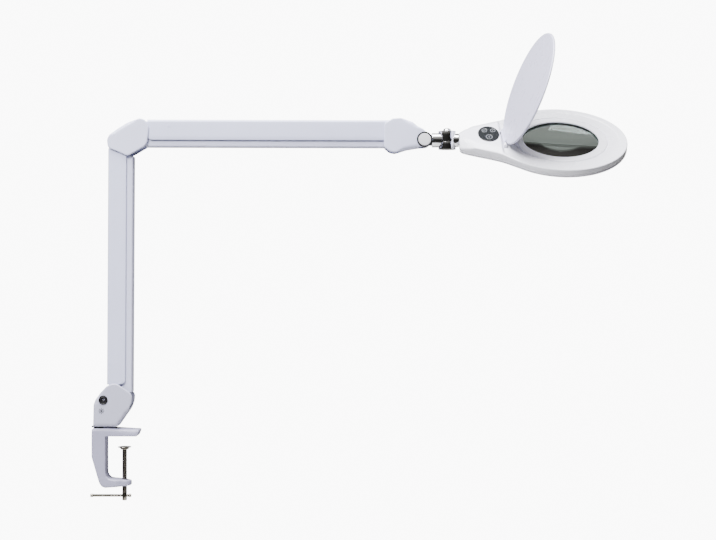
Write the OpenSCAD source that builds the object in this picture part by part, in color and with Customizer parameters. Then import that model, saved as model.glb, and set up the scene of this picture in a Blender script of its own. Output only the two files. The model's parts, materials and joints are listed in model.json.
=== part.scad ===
// Bench magnifying lamp: desk clamp, two parallel-link spring arms, swivel head and lens cover.
// The origin is the point where the screw axis meets the underside of the upper jaw.
// +X runs towards the lamp head, +Z is up, and -Y is the front.

/* [Clamp] */
// Largest thickness between the jaws
clamp_opening = 67; // [60:0.5:80]
// Width of the cast clamp across the jaws
clamp_width = 30; // [26:1:34]
// Thickness of the upper jaw
jaw_thickness = 13.5; // [12:0.5:15]
// Thickness of the clamp's back bar
bar_thickness = 21.5; // [20:0.5:24]
// Diameter of the clamp screw
screw_d = 7.6; // [6:0.2:8]
// Diameter of the pressure pad
pad_d = 21; // [16:1:26]
// Gap between the jaw and the pressure pad as set
pad_gap = 17; // [12:1:30]
// Length of the tommy bar
tommy_length = 63.6; // [50:0.1:70]
// Diameter of the tommy bar
tommy_d = 4.4; // [3:0.2:4.6]

/* [Arms] */
// Pivot to pivot length of the lower arm
lower_length = 387.8; // [250:0.1:450]
// Pivot to pivot length of the upper arm
upper_length = 398.7; // [250:0.1:450]
// Forward lean of the lower arm in degrees
lower_lean = 0.3; // [-5:0.1:20]
// Droop of the upper arm in degrees
upper_droop = 0.15; // [-20:0.05:20]
// Width of the outer channels
outer_width = 29; // [29:0.5:30]
// Width of the inner channels
inner_width = 24; // [24:0.2:25]
// Sheet thickness of the channels
sheet = 1.2; // [1:0.1:1.4]
// Width of the plastic housings
housing_width = 34.8; // [34.8:0.2:37]

/* [Head] */
// Diameter of the clear lens opening
lens_opening = 117; // [110:1:120]
// Outside diameter of the ring
ring_d = 205; // [200:1:210]
// Length from the lens centre to the end of the handle
handle_reach = 157.6; // [150:0.1:165]
// Roll of the head about its stem in degrees
head_roll = 32.75; // [-60:0.25:60]
// Opening angle of the lens cover in degrees
lid_open = 68.8; // [0:0.1:90]
// Outside diameter of the lens cover
lid_d = 177; // [170:1:179]

/* [Hidden] */
$fn = 64;
eps = 0.01;
pin_gap = 0.05;

// clamp
bar_back_x = -49;
bar_front_x = bar_back_x + bar_thickness;
swivel_x = -38;
swivel_r = 5;
swivel_boss_r = swivel_r + 2.2;
swivel_depth = 40;
swivel_bush_r = 8;
flange_r = 13;
flange_t = 1.5;
base_floor = jaw_thickness + flange_t;
base_bottom = base_floor + 0.3;
lower_jaw_t = 9.6;
jaw_tip_x = 24.6;
lower_tip_x = 12.5;
lower_tip_r = 11.3;
spindle_top = -pad_gap - 2.4;
spindle_bottom = -clamp_opening - lower_jaw_t - 23.7;
tommy_z = -clamp_opening - lower_jaw_t - 16.2;
tommy_left = -53.2;

// pivots of the four-bar links, as [x, z]
link_r = 20.75;
link_angle = 35;
link_lower = [link_r * cos(link_angle), -link_r * sin(link_angle)];
link_upper = [-3.1, -17.8];
pivot_a = [-15.1, 68.2];
pivot_b = pivot_a + link_lower;
pivot_c = pivot_a + lower_length * [sin(lower_lean), cos(lower_lean)];
pivot_d = pivot_c + link_lower;
pivot_e = pivot_c + [38.4, 19.5];
pivot_f = pivot_e + link_upper;
pivot_g = pivot_e + upper_length * [cos(upper_droop), -sin(upper_droop)];
pivot_h = pivot_g + link_upper;
tilt = pivot_g + [40.2, -16.9];

// layers across the arms, as distances from the middle plane
plate_in = 7.5;
plate_out = 10.4;
inner_half = inner_width / 2;
outer_half = outer_width / 2;
cheek_in = outer_half + 0.9;
cheek_out = housing_width / 2;
shoulder_r = 3.5;
pin_r = 2.5;
cheek_wall = 2;

// outer and inner channels, measured from their pivot lines
lower_web = 10.2;
upper_web = 13.2;
flange_edge = 18;
inner_web = 11;
inner_edge = 5;
web_start = 12;
flange_start = 15;
spring_r = 4.5;
spring_inset = 45;
lower_angle = lower_lean;
upper_angle = 90 + upper_droop;

// power inlet and sun mark on the base, and the screw bosses of the housings, as [x, z]
inlet_at = [-30.2, 56.6];
sun_at = [-32.8, 39.7];
base_bosses = [[-12.5, 22], [-37, 45]];
elbow_bosses = [pivot_c + [6.5, 13.6], pivot_e + [-17.6, 4.6]];
end_bosses = [pivot_g + [19, 4.4], pivot_g + [22, -24.6]];

// head joint
joint_z = tilt[1];
knuckle_x = tilt[0] + 35.6;
knuckle_r = 13.4;
knuckle_top = joint_z + 14;
knuckle_bottom = joint_z - 14.2;
knuckle_split = joint_z - 2.5;
neck_r = 11.1;
stem_r = 10.3;
shaft_r = 6;
cap_r = 12;
bolt_r = 4;

// head, in its own frame: x along the handle, z along the lens axis, from the ring's top plane
head_x = tilt[0] + 211.5;
ring_up = 2.5;
ring_r = ring_d / 2;
handle_end = -handle_reach;
parting = -7;
ring_bottom = -13.5;
handle_bottom = -17.5;
lens_r = lens_opening / 2 + 4;
hinge_at = [-88, 3.6];
hinge_barrel_r = 2.4;
lid_r = lid_d / 2;
panel_at = [-112, 0];
panel_z = 8.6;
status_at = [-93.2, 8];
// keys, as [x, y, half length, half width]
key_spots = [[-117.8, 10, 4.7, 6.6], [-104.9, 10, 4.7, 6], [-112, -11.5, 5.6, 8]];
// screws through the bottom cover, as [x, y, inner floor, top of the post]
cover_screws = [
    for (s = [-1, 1]) each [
        [-142.8, s * 17, -15.6, 4.3], [-75, s * 54, -11.4, -1.8], [88.5, s * 22, -11.4, -1.8]
    ]
];
// half width of the handle from its end to where it meets the ring
handle_sides = [
    [handle_end, 22], [handle_end + 3, 26.6], [-146, 31.7], [-133.5, 37.4], [-109.5, 48.2],
    [-95, 55.5], [-82, 65.5], [-70, 75]
];

// a flat profile in X and Z, drawn from y0 to y1
module slab(y0, y1) {
    translate([0, y1, 0]) rotate([90, 0, 0]) linear_extrude(y1 - y0) children();
}

// a round bar along Y at the point p
module bar_y(p, r, y0, y1) {
    translate([p[0], y1, p[1]]) rotate([90, 0, 0]) cylinder(r = r, h = y1 - y0);
}

// a round bar along Z
module bar_z(x, r, z0, z1) {
    translate([x, 0, z0]) cylinder(r = r, h = z1 - z0);
}

// a round bar along X
module bar_x(r, x0, x1, z) {
    translate([x0, 0, z]) rotate([0, 90, 0]) cylinder(r = r, h = x1 - x0);
}

// a flat link between two points with round ends; its sides stand just inside the end circles
module link_2d(p, q, r) {
    d = q - p;
    n = [-d[1], d[0]] / norm(d) * (r - 0.4);
    translate(p) circle(r);
    translate(q) circle(r);
    polygon([p + n, q + n, q - n, p - n]);
}

module both_sides(y0, y1) {
    slab(y0, y1) children();
    slab(-y1, -y0) children();
}

// ---------------------------------------------------------------- clamp

module clamp_profile() {
    low = -clamp_opening;
    polygon([
        [bar_back_x + 3, jaw_thickness], [bar_back_x, jaw_thickness - 3],
        [bar_back_x, -30.8], [bar_back_x + 12, low - 5.2],
        [bar_back_x + 15.5, low - 9.9], [bar_back_x + 20.5, low - lower_jaw_t - 2.8],
        [-1.1, low - lower_jaw_t - 0.8], [lower_tip_x - 1.4, low - lower_jaw_t + 0.4],
        [lower_tip_x, low - lower_jaw_t + 2], [lower_tip_x, low - 3.4],
        [lower_tip_x - 1.4, low - 2.2], [-1.1, low - 0.6], [-16.3, low + 0.6],
        [bar_front_x + 5.4, low + 1.6], [bar_front_x + 1.8, low + 5],
        [bar_front_x, low + 9.5], [bar_front_x, 0],
        [jaw_tip_x - 4, 0], [jaw_tip_x - 3.2, 1], [jaw_tip_x, 8.4], [jaw_tip_x - 0.6, 9.8],
        [jaw_tip_x - 2, jaw_thickness - 2.9], [bar_front_x + 3.5, jaw_thickness]
    ]);
}

module clamp_frame() {
    bush_bottom = jaw_thickness - swivel_depth;
    color("#b9b6c4") difference() {
        slab(-clamp_width / 2, clamp_width / 2) clamp_profile();
        bar_z(0, screw_d / 2 + 0.08, -clamp_opening - 20, -clamp_opening + 12);
        bar_z(swivel_x, swivel_bush_r, bush_bottom, jaw_thickness + 1);
        lower_tip_sides();
    }
}

// what is cut away to round the lower jaw's end about the screw
module lower_tip_sides() {
    side = clamp_width / 2;
    low = -clamp_opening - lower_jaw_t - 5;
    translate([0, 0, low]) linear_extrude(lower_jaw_t + 8) difference() {
        translate([-12, -side - 1]) square([40, 2 * side + 2]);
        circle(lower_tip_r);
        polygon([
            [-13, -side], [-12, -side], [0, -lower_tip_r], [0, lower_tip_r], [-12, side], [-13, side]
        ]);
    }
}

module swivel_bush() {
    bush_bottom = jaw_thickness - swivel_depth;
    color("#2b2b2e") difference() {
        union() {
            bar_z(swivel_x, swivel_bush_r, bush_bottom, jaw_thickness + eps);
            bar_z(swivel_x, flange_r, jaw_thickness, base_floor);
        }
        bar_z(swivel_x, swivel_r + pin_gap, bush_bottom + 2, base_floor);
    }
}

module pressure_pad() {
    top = -pad_gap;
    color("#4a4743") difference() {
        rotate_extrude() polygon([
            [0, top], [pad_d / 2 - 0.6, top], [pad_d / 2, top - 0.5], [pad_d / 2 - 0.4, top - 1],
            [6.2, top - 2.4], [5, top - 4.2], [0, top - 4.2]
        ]);
        bar_z(0, 3.05, top - 6, spindle_top + 0.05);
    }
}

module clamp_spindle() {
    color("#4a4743") difference() {
        union() {
            bar_z(0, 3, spindle_top - 3, spindle_top);
            bar_z(0, screw_d / 2, spindle_bottom + 0.8, -pad_gap - 4.25);
            translate([0, 0, spindle_bottom])
                cylinder(r1 = screw_d / 2 - 0.8, r2 = screw_d / 2, h = 0.8 + eps);
        }
        bar_x(tommy_d / 2 + 0.05, -10, 10, tommy_z);
    }
}

module tommy_bar() {
    right = tommy_left + tommy_length;
    color("#5a5752") {
        bar_x(tommy_d / 2, tommy_left + 4, right - 4, tommy_z);
        for (x = [tommy_left, right - 4.5])
            bar_x(tommy_d / 2 + 0.5, x, x + 4.5, tommy_z);
    }
}

// ---------------------------------------------------------------- base head

module base_outline() {
    polygon([
        [-46.6, base_bottom], [-45.8, 49.8], [-42.5, 57.5], [-35.3, 67.2], [-24.6, 78.2],
        [-8, 80.2], [-4.6, 78.4], [6.8, 70.6], [12.2, 66.2], [14.2, 61.6], [13.3, 52.4],
        [9.2, 41.5], [0.6, 29], [-9, base_bottom]
    ]);
    translate(pivot_a) circle(13.9);
}

// walls that close the back and the lower front of the base
module base_walls() {
    intersection() {
        difference() {
            base_outline();
            polygon([
                [-44.4, base_bottom + 2.2], [-43.8, 49.4], [-40.8, 56.6], [-30, 71], [0, 90],
                [40, 60], [10.3, 46], [7.2, 41.5], [-1.7, 29.4], [-10.6, base_bottom + 2.2]
            ]);
        }
        polygon([
            [-60, 0], [-60, 68], [-34, 68], [-34, 60], [-10, 40.5], [30, 40.5], [30, 0]
        ]);
    }
}

// one half of a housing: its cheek, and the walls behind it out to the middle plane
module shell(side) {
    y_in = side * cheek_in;
    y_out = side * cheek_out;
    slab(min(y_in, y_out), max(y_in, y_out)) children(0);
    slab(min(0, y_in + side * eps), max(0, y_in + side * eps)) children(1);
}

module base_shell(side) {
    color("#d9d7e2") difference() {
        union() {
            shell(side) { base_outline(); base_walls(); }
            for (p = base_bosses)
                bar_y(p, 3.4, side < 0 ? -cheek_in - eps : 0, side < 0 ? 0 : cheek_in + eps);
        }
        for (p = base_bosses) {
            bar_y(p, 1.3, side < 0 ? -11 : -1, side < 0 ? 1 : 20);
            if (side > 0) bar_y(p, 2.6, 13, 20);
        }
        if (side < 0) bar_y(inlet_at, 5.2, -20, -10);
        bar_z(swivel_x, swivel_boss_r + 0.2, base_floor, base_floor + 9);
    }
}

module base_shell_front() { base_shell(-1); }
module base_shell_rear() { base_shell(1); }

module base_core() {
    floor_z = base_floor + 4.4;
    color("#8f8f96") difference() {
        union() {
            bar_z(swivel_x, swivel_boss_r, base_floor + 0.1, floor_z + 4);
            translate([-40, -plate_out, floor_z]) cube([22.5, 2 * plate_out, 4]);
            both_sides(plate_in, plate_out) {
                link_2d(pivot_a, pivot_b, 8);
                link_2d(pivot_a + [1.6, 0], [-14, floor_z + 12], 8);
                polygon([
                    [-30, floor_z], [-17.5, floor_z], [-8, 31], [pivot_b[0] - 2, pivot_b[1] - 7],
                    [-20, 55], [-21, 40]
                ]);
            }
        }
        for (p = base_bosses) bar_y(p, 3.8, -20, 20);
        bar_z(swivel_x, swivel_r + pin_gap, 0, 60);
        bar_y(pivot_a, shoulder_r + pin_gap, -20, 20);
        bar_y(pivot_b, pin_r + pin_gap, -20, 20);
    }
}

module swivel_pin() {
    color("#a8a8ac") {
        bar_z(swivel_x, swivel_r, jaw_thickness - swivel_depth + 2.2, base_floor + 8.5);
        bar_z(swivel_x, swivel_r + 1.1, base_floor + 8.45, base_floor + 11);
    }
}

// a shouldered pin for an outer channel
module outer_pin(p) {
    bar_y(p, shoulder_r, -inner_half - 1.2, inner_half + 1.2);
    bar_y(p, pin_r, -outer_half - 0.1, outer_half + 0.1);
    bar_y(p, 4.5, outer_half + 0.06, outer_half + 0.8);
    bar_y(p, 4.5, -outer_half - 0.8, -outer_half - 0.06);
}

// a headed pin for an inner channel
module inner_pin(p) {
    bar_y(p, pin_r, -inner_half - 0.2, inner_half + 0.2);
    bar_y(p, 4, inner_half + 0.08, inner_half + 0.9);
    bar_y(p, 4, -inner_half - 0.9, -inner_half - 0.08);
}

module base_pivot_pins() {
    color("#a8a8ac") { outer_pin(pivot_a); inner_pin(pivot_b); }
}

// a self-tapping screw from the rear
module shell_screw(p) {
    bar_y(p, 1.25, -10.5, 14);
    bar_y(p, 2.5, 13.05, 14.8);
}

module base_screws() {
    color("#77777c") for (p = base_bosses) shell_screw(p);
}

module dc_inlet() {
    color("#161618") difference() {
        union() {
            bar_y(inlet_at, 7, -cheek_out - 1.4, -cheek_out);
            bar_y(inlet_at, 5.1, -cheek_out - 0.1, -6);
        }
        bar_y(inlet_at, 2.75, -cheek_out - 2, -8);
    }
}

module dc_inlet_pin() {
    color("#c8c8cc") bar_y(inlet_at, 1.05, -cheek_out - 0.4, -8);
}

module sun_mark() {
    depth = 0.25;
    ray_width = 1;
    color("#3a3a3e") {
        bar_y(sun_at, 1.5, -cheek_out - depth, -cheek_out);
        for (i = [0:7])
            translate([sun_at[0], 0, sun_at[1]]) rotate([0, i * 45, 0])
                translate([2.1, -cheek_out - depth, -ray_width / 2]) cube([2.3, depth, ray_width]);
    }
}

// ---------------------------------------------------------------- arm channels

// an arm's own frame: z runs along the arm from its lower pivot, -x is the outer channel's web
module along(p, angle) {
    translate([p[0], 0, p[1]]) rotate([0, angle, 0]) children();
}

module outer_channel(length, web) {
    start = web_start;
    difference() {
        union() {
            both_sides(outer_half - sheet, outer_half) {
                for (z = [0, length]) translate([0, z]) circle(9);
                polygon([
                    [-8.6, 0], [8.6, 0], [flange_edge, flange_start],
                    [flange_edge, length - flange_start], [8.6, length], [-8.6, length],
                    [-web, length - start], [-web, start]
                ]);
            }
            translate([-web, -outer_half + eps, start])
                cube([sheet, outer_width - 2 * eps, length - 2 * start]);
        }
        for (z = [0, length]) bar_y([0, z], pin_r + pin_gap, -30, 30);
        for (z = [spring_inset, length - spring_inset])
            bar_y([-3.8, z], 2.05, -30, 30);
    }
}

module inner_channel(length, far_gap) {
    start = web_start;
    difference() {
        union() {
            both_sides(inner_half - sheet, inner_half) {
                for (z = [0, length]) translate([0, z]) circle(6.5);
                polygon([
                    [-inner_edge, 0], [6.2, 0], [inner_web, start], [inner_web, length - start],
                    [6.2, length], [-inner_edge, length]
                ]);
            }
            translate([inner_web - sheet, -inner_half + eps, start])
                cube([sheet, inner_width - 2 * eps, length - 2 * start]);
        }
        bar_y([0, 0], pin_r + pin_gap, -30, 30);
        bar_y([0, length], pin_r + far_gap, -30, 30);
    }
}

module arm_spring(length) {
    color("#9a9aa0") difference() {
        translate([-3.8, 0, spring_inset + 8])
            cylinder(r = spring_r, h = length - 2 * spring_inset - 16);
        translate([-3.8, 0, 0]) cylinder(r = spring_r - 1.6, h = length);
    }
}

module arm_spring_pins(length) {
    color("#dcdae6") for (z = [spring_inset, length - spring_inset])
        bar_y([-3.8, z], 2, -outer_half - 0.3, outer_half + 0.3);
}

module lower_outer_channel() {
    color("#dcdae6") along(pivot_a, lower_angle) outer_channel(lower_length, lower_web);
}

module lower_inner_channel() {
    color("#d3d1dd") along(pivot_b, lower_angle) inner_channel(lower_length, 0.3);
}

module lower_spring() { along(pivot_a, lower_angle) arm_spring(lower_length); }
module lower_spring_pins() { along(pivot_a, lower_angle) arm_spring_pins(lower_length); }

module upper_outer_channel() {
    color("#dcdae6") along(pivot_e, upper_angle) outer_channel(upper_length, upper_web);
}

module upper_inner_channel() {
    color("#d3d1dd") along(pivot_f, upper_angle) inner_channel(upper_length, 0.3);
}

module upper_spring() { along(pivot_e, upper_angle) arm_spring(upper_length); }
module upper_spring_pins() { along(pivot_e, upper_angle) arm_spring_pins(upper_length); }

// ---------------------------------------------------------------- elbow

module elbow_outline() {
    translate(pivot_c) polygon([
        [-11.4, -2], [-8.8, -11.6], [17.6, -22.9], [19.6, -23.2], [28, -20], [46.4, -9],
        [50, -4], [52.6, 14], [52.8, 20.4], [49.5, 29], [45, 32.8], [39, 34.4], [33, 32.4],
        [20.4, 28.3], [5.4, 19.2], [-7.6, 9.6]
    ]);
    translate(pivot_c) circle(11.4);
}

module elbow_walls() {
    intersection() {
        difference() {
            elbow_outline();
            translate(pivot_c) polygon([
                [-9.6, 8], [6.4, 17.4], [21.2, 26.4], [33.6, 30.4], [39, 32.3], [44, 31],
                [80, 20], [40, -60], [-40, -60]
            ]);
        }
        translate(pivot_c) polygon([[-8.4, 6], [-8.4, 60], [30, 60], [30, 6]]);
    }
}

module elbow_shell(side) {
    color("#dcdae6") difference() {
        union() {
            shell(side) { elbow_outline(); elbow_walls(); }
            for (p = elbow_bosses)
                bar_y(p, 3.4, side < 0 ? -cheek_in - eps : 0, side < 0 ? 0 : cheek_in + eps);
        }
        for (p = elbow_bosses) {
            bar_y(p, 1.3, side < 0 ? -11 : -1, side < 0 ? 1 : 20);
            if (side > 0) bar_y(p, 2.6, 13, 20);
        }
    }
}

module elbow_shell_front() { elbow_shell(-1); }
module elbow_shell_rear() { elbow_shell(1); }

module elbow_core() {
    color("#8f8f96") difference() {
        union() {
            both_sides(plate_in, plate_out) {
                link_2d(pivot_c, pivot_d, 8);
                link_2d(pivot_d, pivot_f, 8);
                link_2d(pivot_c, pivot_e, 8);
                link_2d(pivot_e, pivot_f, 7.6);
                translate(pivot_c) polygon([[2, 2], [16, -8], [36, 2], [34, 16]]);
            }
            slab(-plate_in - eps, plate_in + eps)
                translate(pivot_c) polygon([[8, 0], [15, -4.6], [25, 3], [24, 9.6], [14, 6]]);
        }
        for (p = elbow_bosses) bar_y(p, 3.8, -20, 20);
        for (p = [pivot_c, pivot_e]) bar_y(p, shoulder_r + pin_gap, -20, 20);
        for (p = [pivot_d, pivot_f]) bar_y(p, pin_r + pin_gap, -20, 20);
    }
}

module elbow_pivot_pins() {
    color("#a8a8ac") {
        for (p = [pivot_c, pivot_e]) outer_pin(p);
        for (p = [pivot_d, pivot_f]) inner_pin(p);
    }
}

module elbow_screws() {
    color("#77777c") for (p = elbow_bosses) shell_screw(p);
}

// ---------------------------------------------------------------- end block

module end_outline() {
    translate(pivot_g) polygon([
        [-22, -27], [-22, 3.4], [-21.2, 8.6], [-12, 13.6], [-9, 15.6], [4, 16.4], [15.6, 12.6],
        [22.1, 10.2], [29.8, 3.9], [38.1, -0.6], [44, -6.2], [50.6, -13], [50.6, -20],
        [45, -27], [32.7, -28.6], [13.3, -31.9], [1.5, -35.4], [-6, -37.3], [-13.7, -35.4],
        [-20.8, -29.6]
    ]);
    translate(tilt) circle(11.4);
}

module end_walls() {
    intersection() {
        difference() {
            end_outline();
            translate(pivot_g) polygon([
                [-60, 0], [-10, 13.8], [4, 14.4], [15, 10.6], [21, 8.4], [29, 1.9], [34, -1],
                [60, -14], [36, -26.2], [32.4, -26.6], [13, -29.8], [2, -33.2], [-60, -70]
            ]);
        }
        translate(pivot_g) polygon([
            [9.5, 0], [9.5, 40], [31, 40], [31, 4], [18, -10], [31, -24], [31, -60], [3, -60],
            [3, -31], [6, -20]
        ]);
    }
}

module end_shell(side) {
    color("#dcdae6") difference() {
        union() {
            shell(side) { end_outline(); end_walls(); }
            for (p = end_bosses)
                bar_y(p, 3.4, side < 0 ? -cheek_in - eps : 0, side < 0 ? 0 : cheek_in + eps);
        }
        for (p = end_bosses) {
            bar_y(p, 1.3, side < 0 ? -11 : -1, side < 0 ? 1 : 20);
            if (side > 0) bar_y(p, 2.6, 13, 20);
        }
        bar_y(tilt, 7.3, -20, 20);
    }
}

module end_shell_front() { end_shell(-1); }
module end_shell_rear() { end_shell(1); }

module end_core() {
    color("#8f8f96") difference() {
        union() {
            both_sides(plate_in, plate_out) {
                link_2d(pivot_g, pivot_h, 7.6);
                link_2d(pivot_g + [2, -2], tilt, 8);
                link_2d(pivot_h + [2, 0], tilt, 8);
                link_2d(tilt - [10, 0], tilt, 9.2);
            }
            slab(-plate_in - eps, plate_in + eps)
                translate(pivot_g) polygon([[8, -12], [18, -16], [18, -22], [8, -20]]);
            bar_y(tilt, 7, -cheek_out + 0.05, -plate_in);
            bar_y(tilt, 7, plate_in, cheek_out - 0.05);
        }
        for (p = end_bosses) bar_y(p, 3.8, -20, 20);
        bar_y(pivot_g, shoulder_r + pin_gap, -20, 20);
        bar_y(pivot_h, pin_r + pin_gap, -20, 20);
        bar_y(tilt, bolt_r + pin_gap, -30, 30);
    }
}

module end_pivot_pins() {
    color("#a8a8ac") { outer_pin(pivot_g); inner_pin(pivot_h); }
}

module end_screws() {
    color("#77777c") for (p = end_bosses) shell_screw(p);
}

// ---------------------------------------------------------------- head joint

module tilt_bolt() {
    face = -cheek_out - 0.1;
    color("#c9cbd0") {
        bar_y(tilt, bolt_r, face - eps, cheek_out + 7);
        bar_y(tilt, cap_r, face - 3.4, face);
        translate([tilt[0], face - 3.4 + eps, tilt[1]]) rotate([90, 0, 0])
            cylinder(r1 = cap_r, r2 = cap_r - 1, h = 1.1);
    }
}

module tilt_nut() {
    face = cheek_out + 0.5;
    color("#c9cbd0") difference() {
        slab(face, face + 5) translate(tilt) circle(9, $fn = 6);
        bar_y(tilt, bolt_r + pin_gap, face - 1, face + 6);
    }
}

module neck() {
    color("#c9cbd0") difference() {
        union() {
            bar_y(tilt, 10.6, -plate_in + 0.25, plate_in - 0.25);
            translate([tilt[0], -plate_in + 0.25, tilt[1] - 8])
                cube([16, 2 * plate_in - 0.5, 16]);
            bar_x(neck_r, tilt[0] + 12.2, knuckle_x - 8, joint_z);
            bar_z(knuckle_x, knuckle_r, knuckle_split + 0.15, knuckle_top);
        }
        bar_y(tilt, bolt_r + pin_gap, -30, 30);
        bar_z(knuckle_x, knuckle_r + 0.4, knuckle_bottom - 5, knuckle_split + 0.15);
        bar_z(knuckle_x, 3.05, 0, knuckle_top + 5);
    }
}

module stem() {
    socket_x = head_x + handle_end;
    color("#c9cbd0") difference() {
        union() {
            bar_z(knuckle_x, knuckle_r, knuckle_bottom, knuckle_split - 0.15);
            bar_x(stem_r, knuckle_x + 8, socket_x - 0.4, joint_z);
            bar_x(shaft_r, knuckle_x + 14, socket_x + 30, joint_z);
        }
        bar_z(knuckle_x, knuckle_r + 0.4, knuckle_split - 0.15, knuckle_top + 5);
        bar_z(knuckle_x, 3.05, 0, knuckle_top + 5);
        bar_z(knuckle_x, 6.1, knuckle_bottom - 5, knuckle_bottom + 4);
    }
}

module knuckle_bolt() {
    color("#c9cbd0") {
        bar_z(knuckle_x, 3, knuckle_bottom + 3.9, knuckle_top + 3);
        bar_z(knuckle_x, 6, knuckle_bottom + 0.1, knuckle_bottom + 3.95);
    }
}

module dome_nut() {
    color("#c9cbd0") difference() {
        translate([knuckle_x, 0, knuckle_top + 0.05]) rotate_extrude() polygon(concat(
            [[0, 0], [6.9, 0], [6.9, 1.2]],
            [for (a = [15:15:75]) [6.9 * cos(a), 1.2 + 3.9 * sin(a)]],
            [[0, 5.1]]
        ));
        bar_z(knuckle_x, 3.05, knuckle_top, knuckle_top + 3.1);
    }
}

module stem_collar() {
    x0 = head_x + handle_end + 30.1;
    color("#a8a8ac") bar_x(8.5, x0, x0 + 3, joint_z);
}

// ---------------------------------------------------------------- head

// the head's own frame
module in_head() {
    translate([head_x, 0, joint_z]) rotate([head_roll, 0, 0]) translate([0, 0, ring_up])
        children();
}

// a flat plate in the head from z0 to z1
module plate(z0, z1) {
    translate([0, 0, z0]) linear_extrude(z1 - z0) children();
}

module ring_2d(r_out, r_in) {
    difference() { circle(r_out, $fn = 128); circle(r_in, $fn = 128); }
}

// the handle's plan, drawn in by a margin
module handle_2d(margin, reach = -60) {
    side = [for (p = handle_sides) if (p[0] <= reach) [max(p[0], handle_end + margin), p[1] - margin]];
    last = side[len(side) - 1][1];
    back = [for (i = [len(side) - 1:-1:0]) [side[i][0], -side[i][1]]];
    polygon(concat(side, [[reach, last], [reach, -last]], back));
}

module ellipse_2d(p, a, b) {
    polygon([for (t = [0:10:350]) p + [a * cos(t), b * sin(t)]]);
}

module head_top_cover() {
    color("#e4e2ec") in_head() difference() {
        union() {
            cover_shell();
            for (s = cover_screws) translate([s[0], s[1], s[2] + 0.05])
                cylinder(r = 3.2, h = s[3] - s[2]);
        }
        for (s = cover_screws) translate([s[0], s[1], s[2]]) cylinder(r = 1.5, h = 6);
    }
}

module cover_shell() {
    wall = 2;
    difference() {
        union() {
            plate(parting, 0) { circle(ring_r, $fn = 128); handle_2d(0); }
            plate(-1, 3.4) handle_2d(1.5, -92);
            plate(3, 6) handle_2d(7, -93);
            plate(5, 8.5) handle_2d(14, -94.5);
            plate(-1, 1.2) intersection() {
                ring_2d(ring_r - 1, 91.5);
                polygon([[-76, -120], [-76, 120], [120, 120], [120, -120]]);
            }
        }
        // lens opening, lens pocket and the space for the light ring
        plate(-20, 20) circle(lens_opening / 2, $fn = 128);
        plate(-20, -2) circle(lens_r + 0.5, $fn = 128);
        plate(-20, -2) ring_2d(ring_r - wall, lens_r + 2.4);
        // space inside the handle
        plate(-20, -2) handle_2d(wall + 0.4, -88);
        plate(-3, 1.4) handle_2d(4, -95);
        plate(1, 4) handle_2d(9.6, -96);
        plate(3, 6.5) handle_2d(16.2, -98);
        // stem, keys and status light
        translate([handle_end - 10, 0, -ring_up]) rotate([0, 90, 0])
            cylinder(r = shaft_r + 0.3, h = 20);
        for (k = key_spots) translate([k[0], k[1], 0]) cylinder(r = 2.3, h = 20);
        translate([status_at[0], status_at[1], -5]) cylinder(r = 1.3, h = 20);
    }
}

module head_bottom_cover() {
    color("#dad8e4") in_head() difference() {
        union() {
            plate(-9, parting) { circle(ring_r, $fn = 128); handle_2d(0); }
            plate(-11.5, -9 + eps) { circle(ring_r - 1.4, $fn = 128); handle_2d(1.4); }
            plate(ring_bottom, -11.5 + eps) {
                circle(ring_r - 4.4, $fn = 128);
                handle_2d(4.4);
            }
            plate(-15.5, ring_bottom + eps) handle_2d(6, -88);
            plate(handle_bottom, -15.5 + eps) handle_2d(8.4, -90);
        }
        plate(-30, 10) circle(85.6, $fn = 128);
        plate(-11.4, 0) ring_2d(ring_r - 6.5, 80);
        plate(-13.4, 0) handle_2d(8.4, -88);
        plate(-15.6, 0) handle_2d(11, -91);
        translate([handle_end - 10, 0, -ring_up]) rotate([0, 90, 0])
            cylinder(r = shaft_r + 0.3, h = 20);
        for (s = cover_screws) translate([s[0], s[1], s[2]]) {
            translate([0, 0, -3]) cylinder(r = 1.6, h = 6);
            translate([0, 0, -4]) cylinder(r = 3, h = 3.1);
        }
    }
}

module lens() {
    edge = 1.2;
    radius = 349;
    sag = radius - sqrt(radius * radius - lens_r * lens_r);
    color("#8fb3a8") in_head() translate([0, 0, -6]) rotate_extrude($fn = 128) difference() {
        translate([0, -edge - sag]) square([lens_r, 2 * (edge + sag)]);
        difference() {
            translate([-1, edge]) square([lens_r + 2, 20]);
            translate([0, edge + sag - radius]) circle(radius, $fn = 720);
        }
        difference() {
            translate([-1, -edge - 20]) square([lens_r + 2, 20]);
            translate([0, radius - edge - sag]) circle(radius, $fn = 720);
        }
        translate([-2, -30]) square([2, 60]);
    }
}

module lens_gasket() {
    color("#2c2c30") in_head() plate(-4.4, -2.05) ring_2d(lens_r + 0.2, lens_r - 2);
}

module lens_retainer() {
    color("#8e9294") in_head() difference() {
        union() {
            plate(-12.9, -11) ring_2d(lens_r + 2, lens_opening / 2);
            plate(-11.1, -7.55) ring_2d(lens_r + 2, lens_r - 1.6);
        }
    }
}

module led_board() {
    color("#eef0ea") in_head() plate(-8.8, -7.4) ring_2d(83, lens_r + 3.4);
}

module leds() {
    count = 36;
    radius = 74;
    color("#f2e27a") in_head() for (i = [0:count - 1]) rotate([0, 0, i * 360 / count])
        translate([radius - 1.4, -1.75, -9.7]) cube([2.8, 3.5, 0.88]);
}

module led_diffuser() {
    color("#f4f4f6") in_head() plate(-13.2, -11.6) ring_2d(85.3, lens_r + 2.3);
}

module stem_socket() {
    x0 = handle_end + 16.8;
    color("#55555a") in_head() difference() {
        translate([x0, -11, -15.6]) cube([12.6, 22, 22.1]);
        translate([x0 - 5, 0, -ring_up]) rotate([0, 90, 0])
            cylinder(r = shaft_r + pin_gap, h = 40);
    }
}

module control_board() {
    color("#2f6b46") in_head() plate(1.6, 3) translate([-123.5, -19]) square([24, 38]);
}

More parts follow.
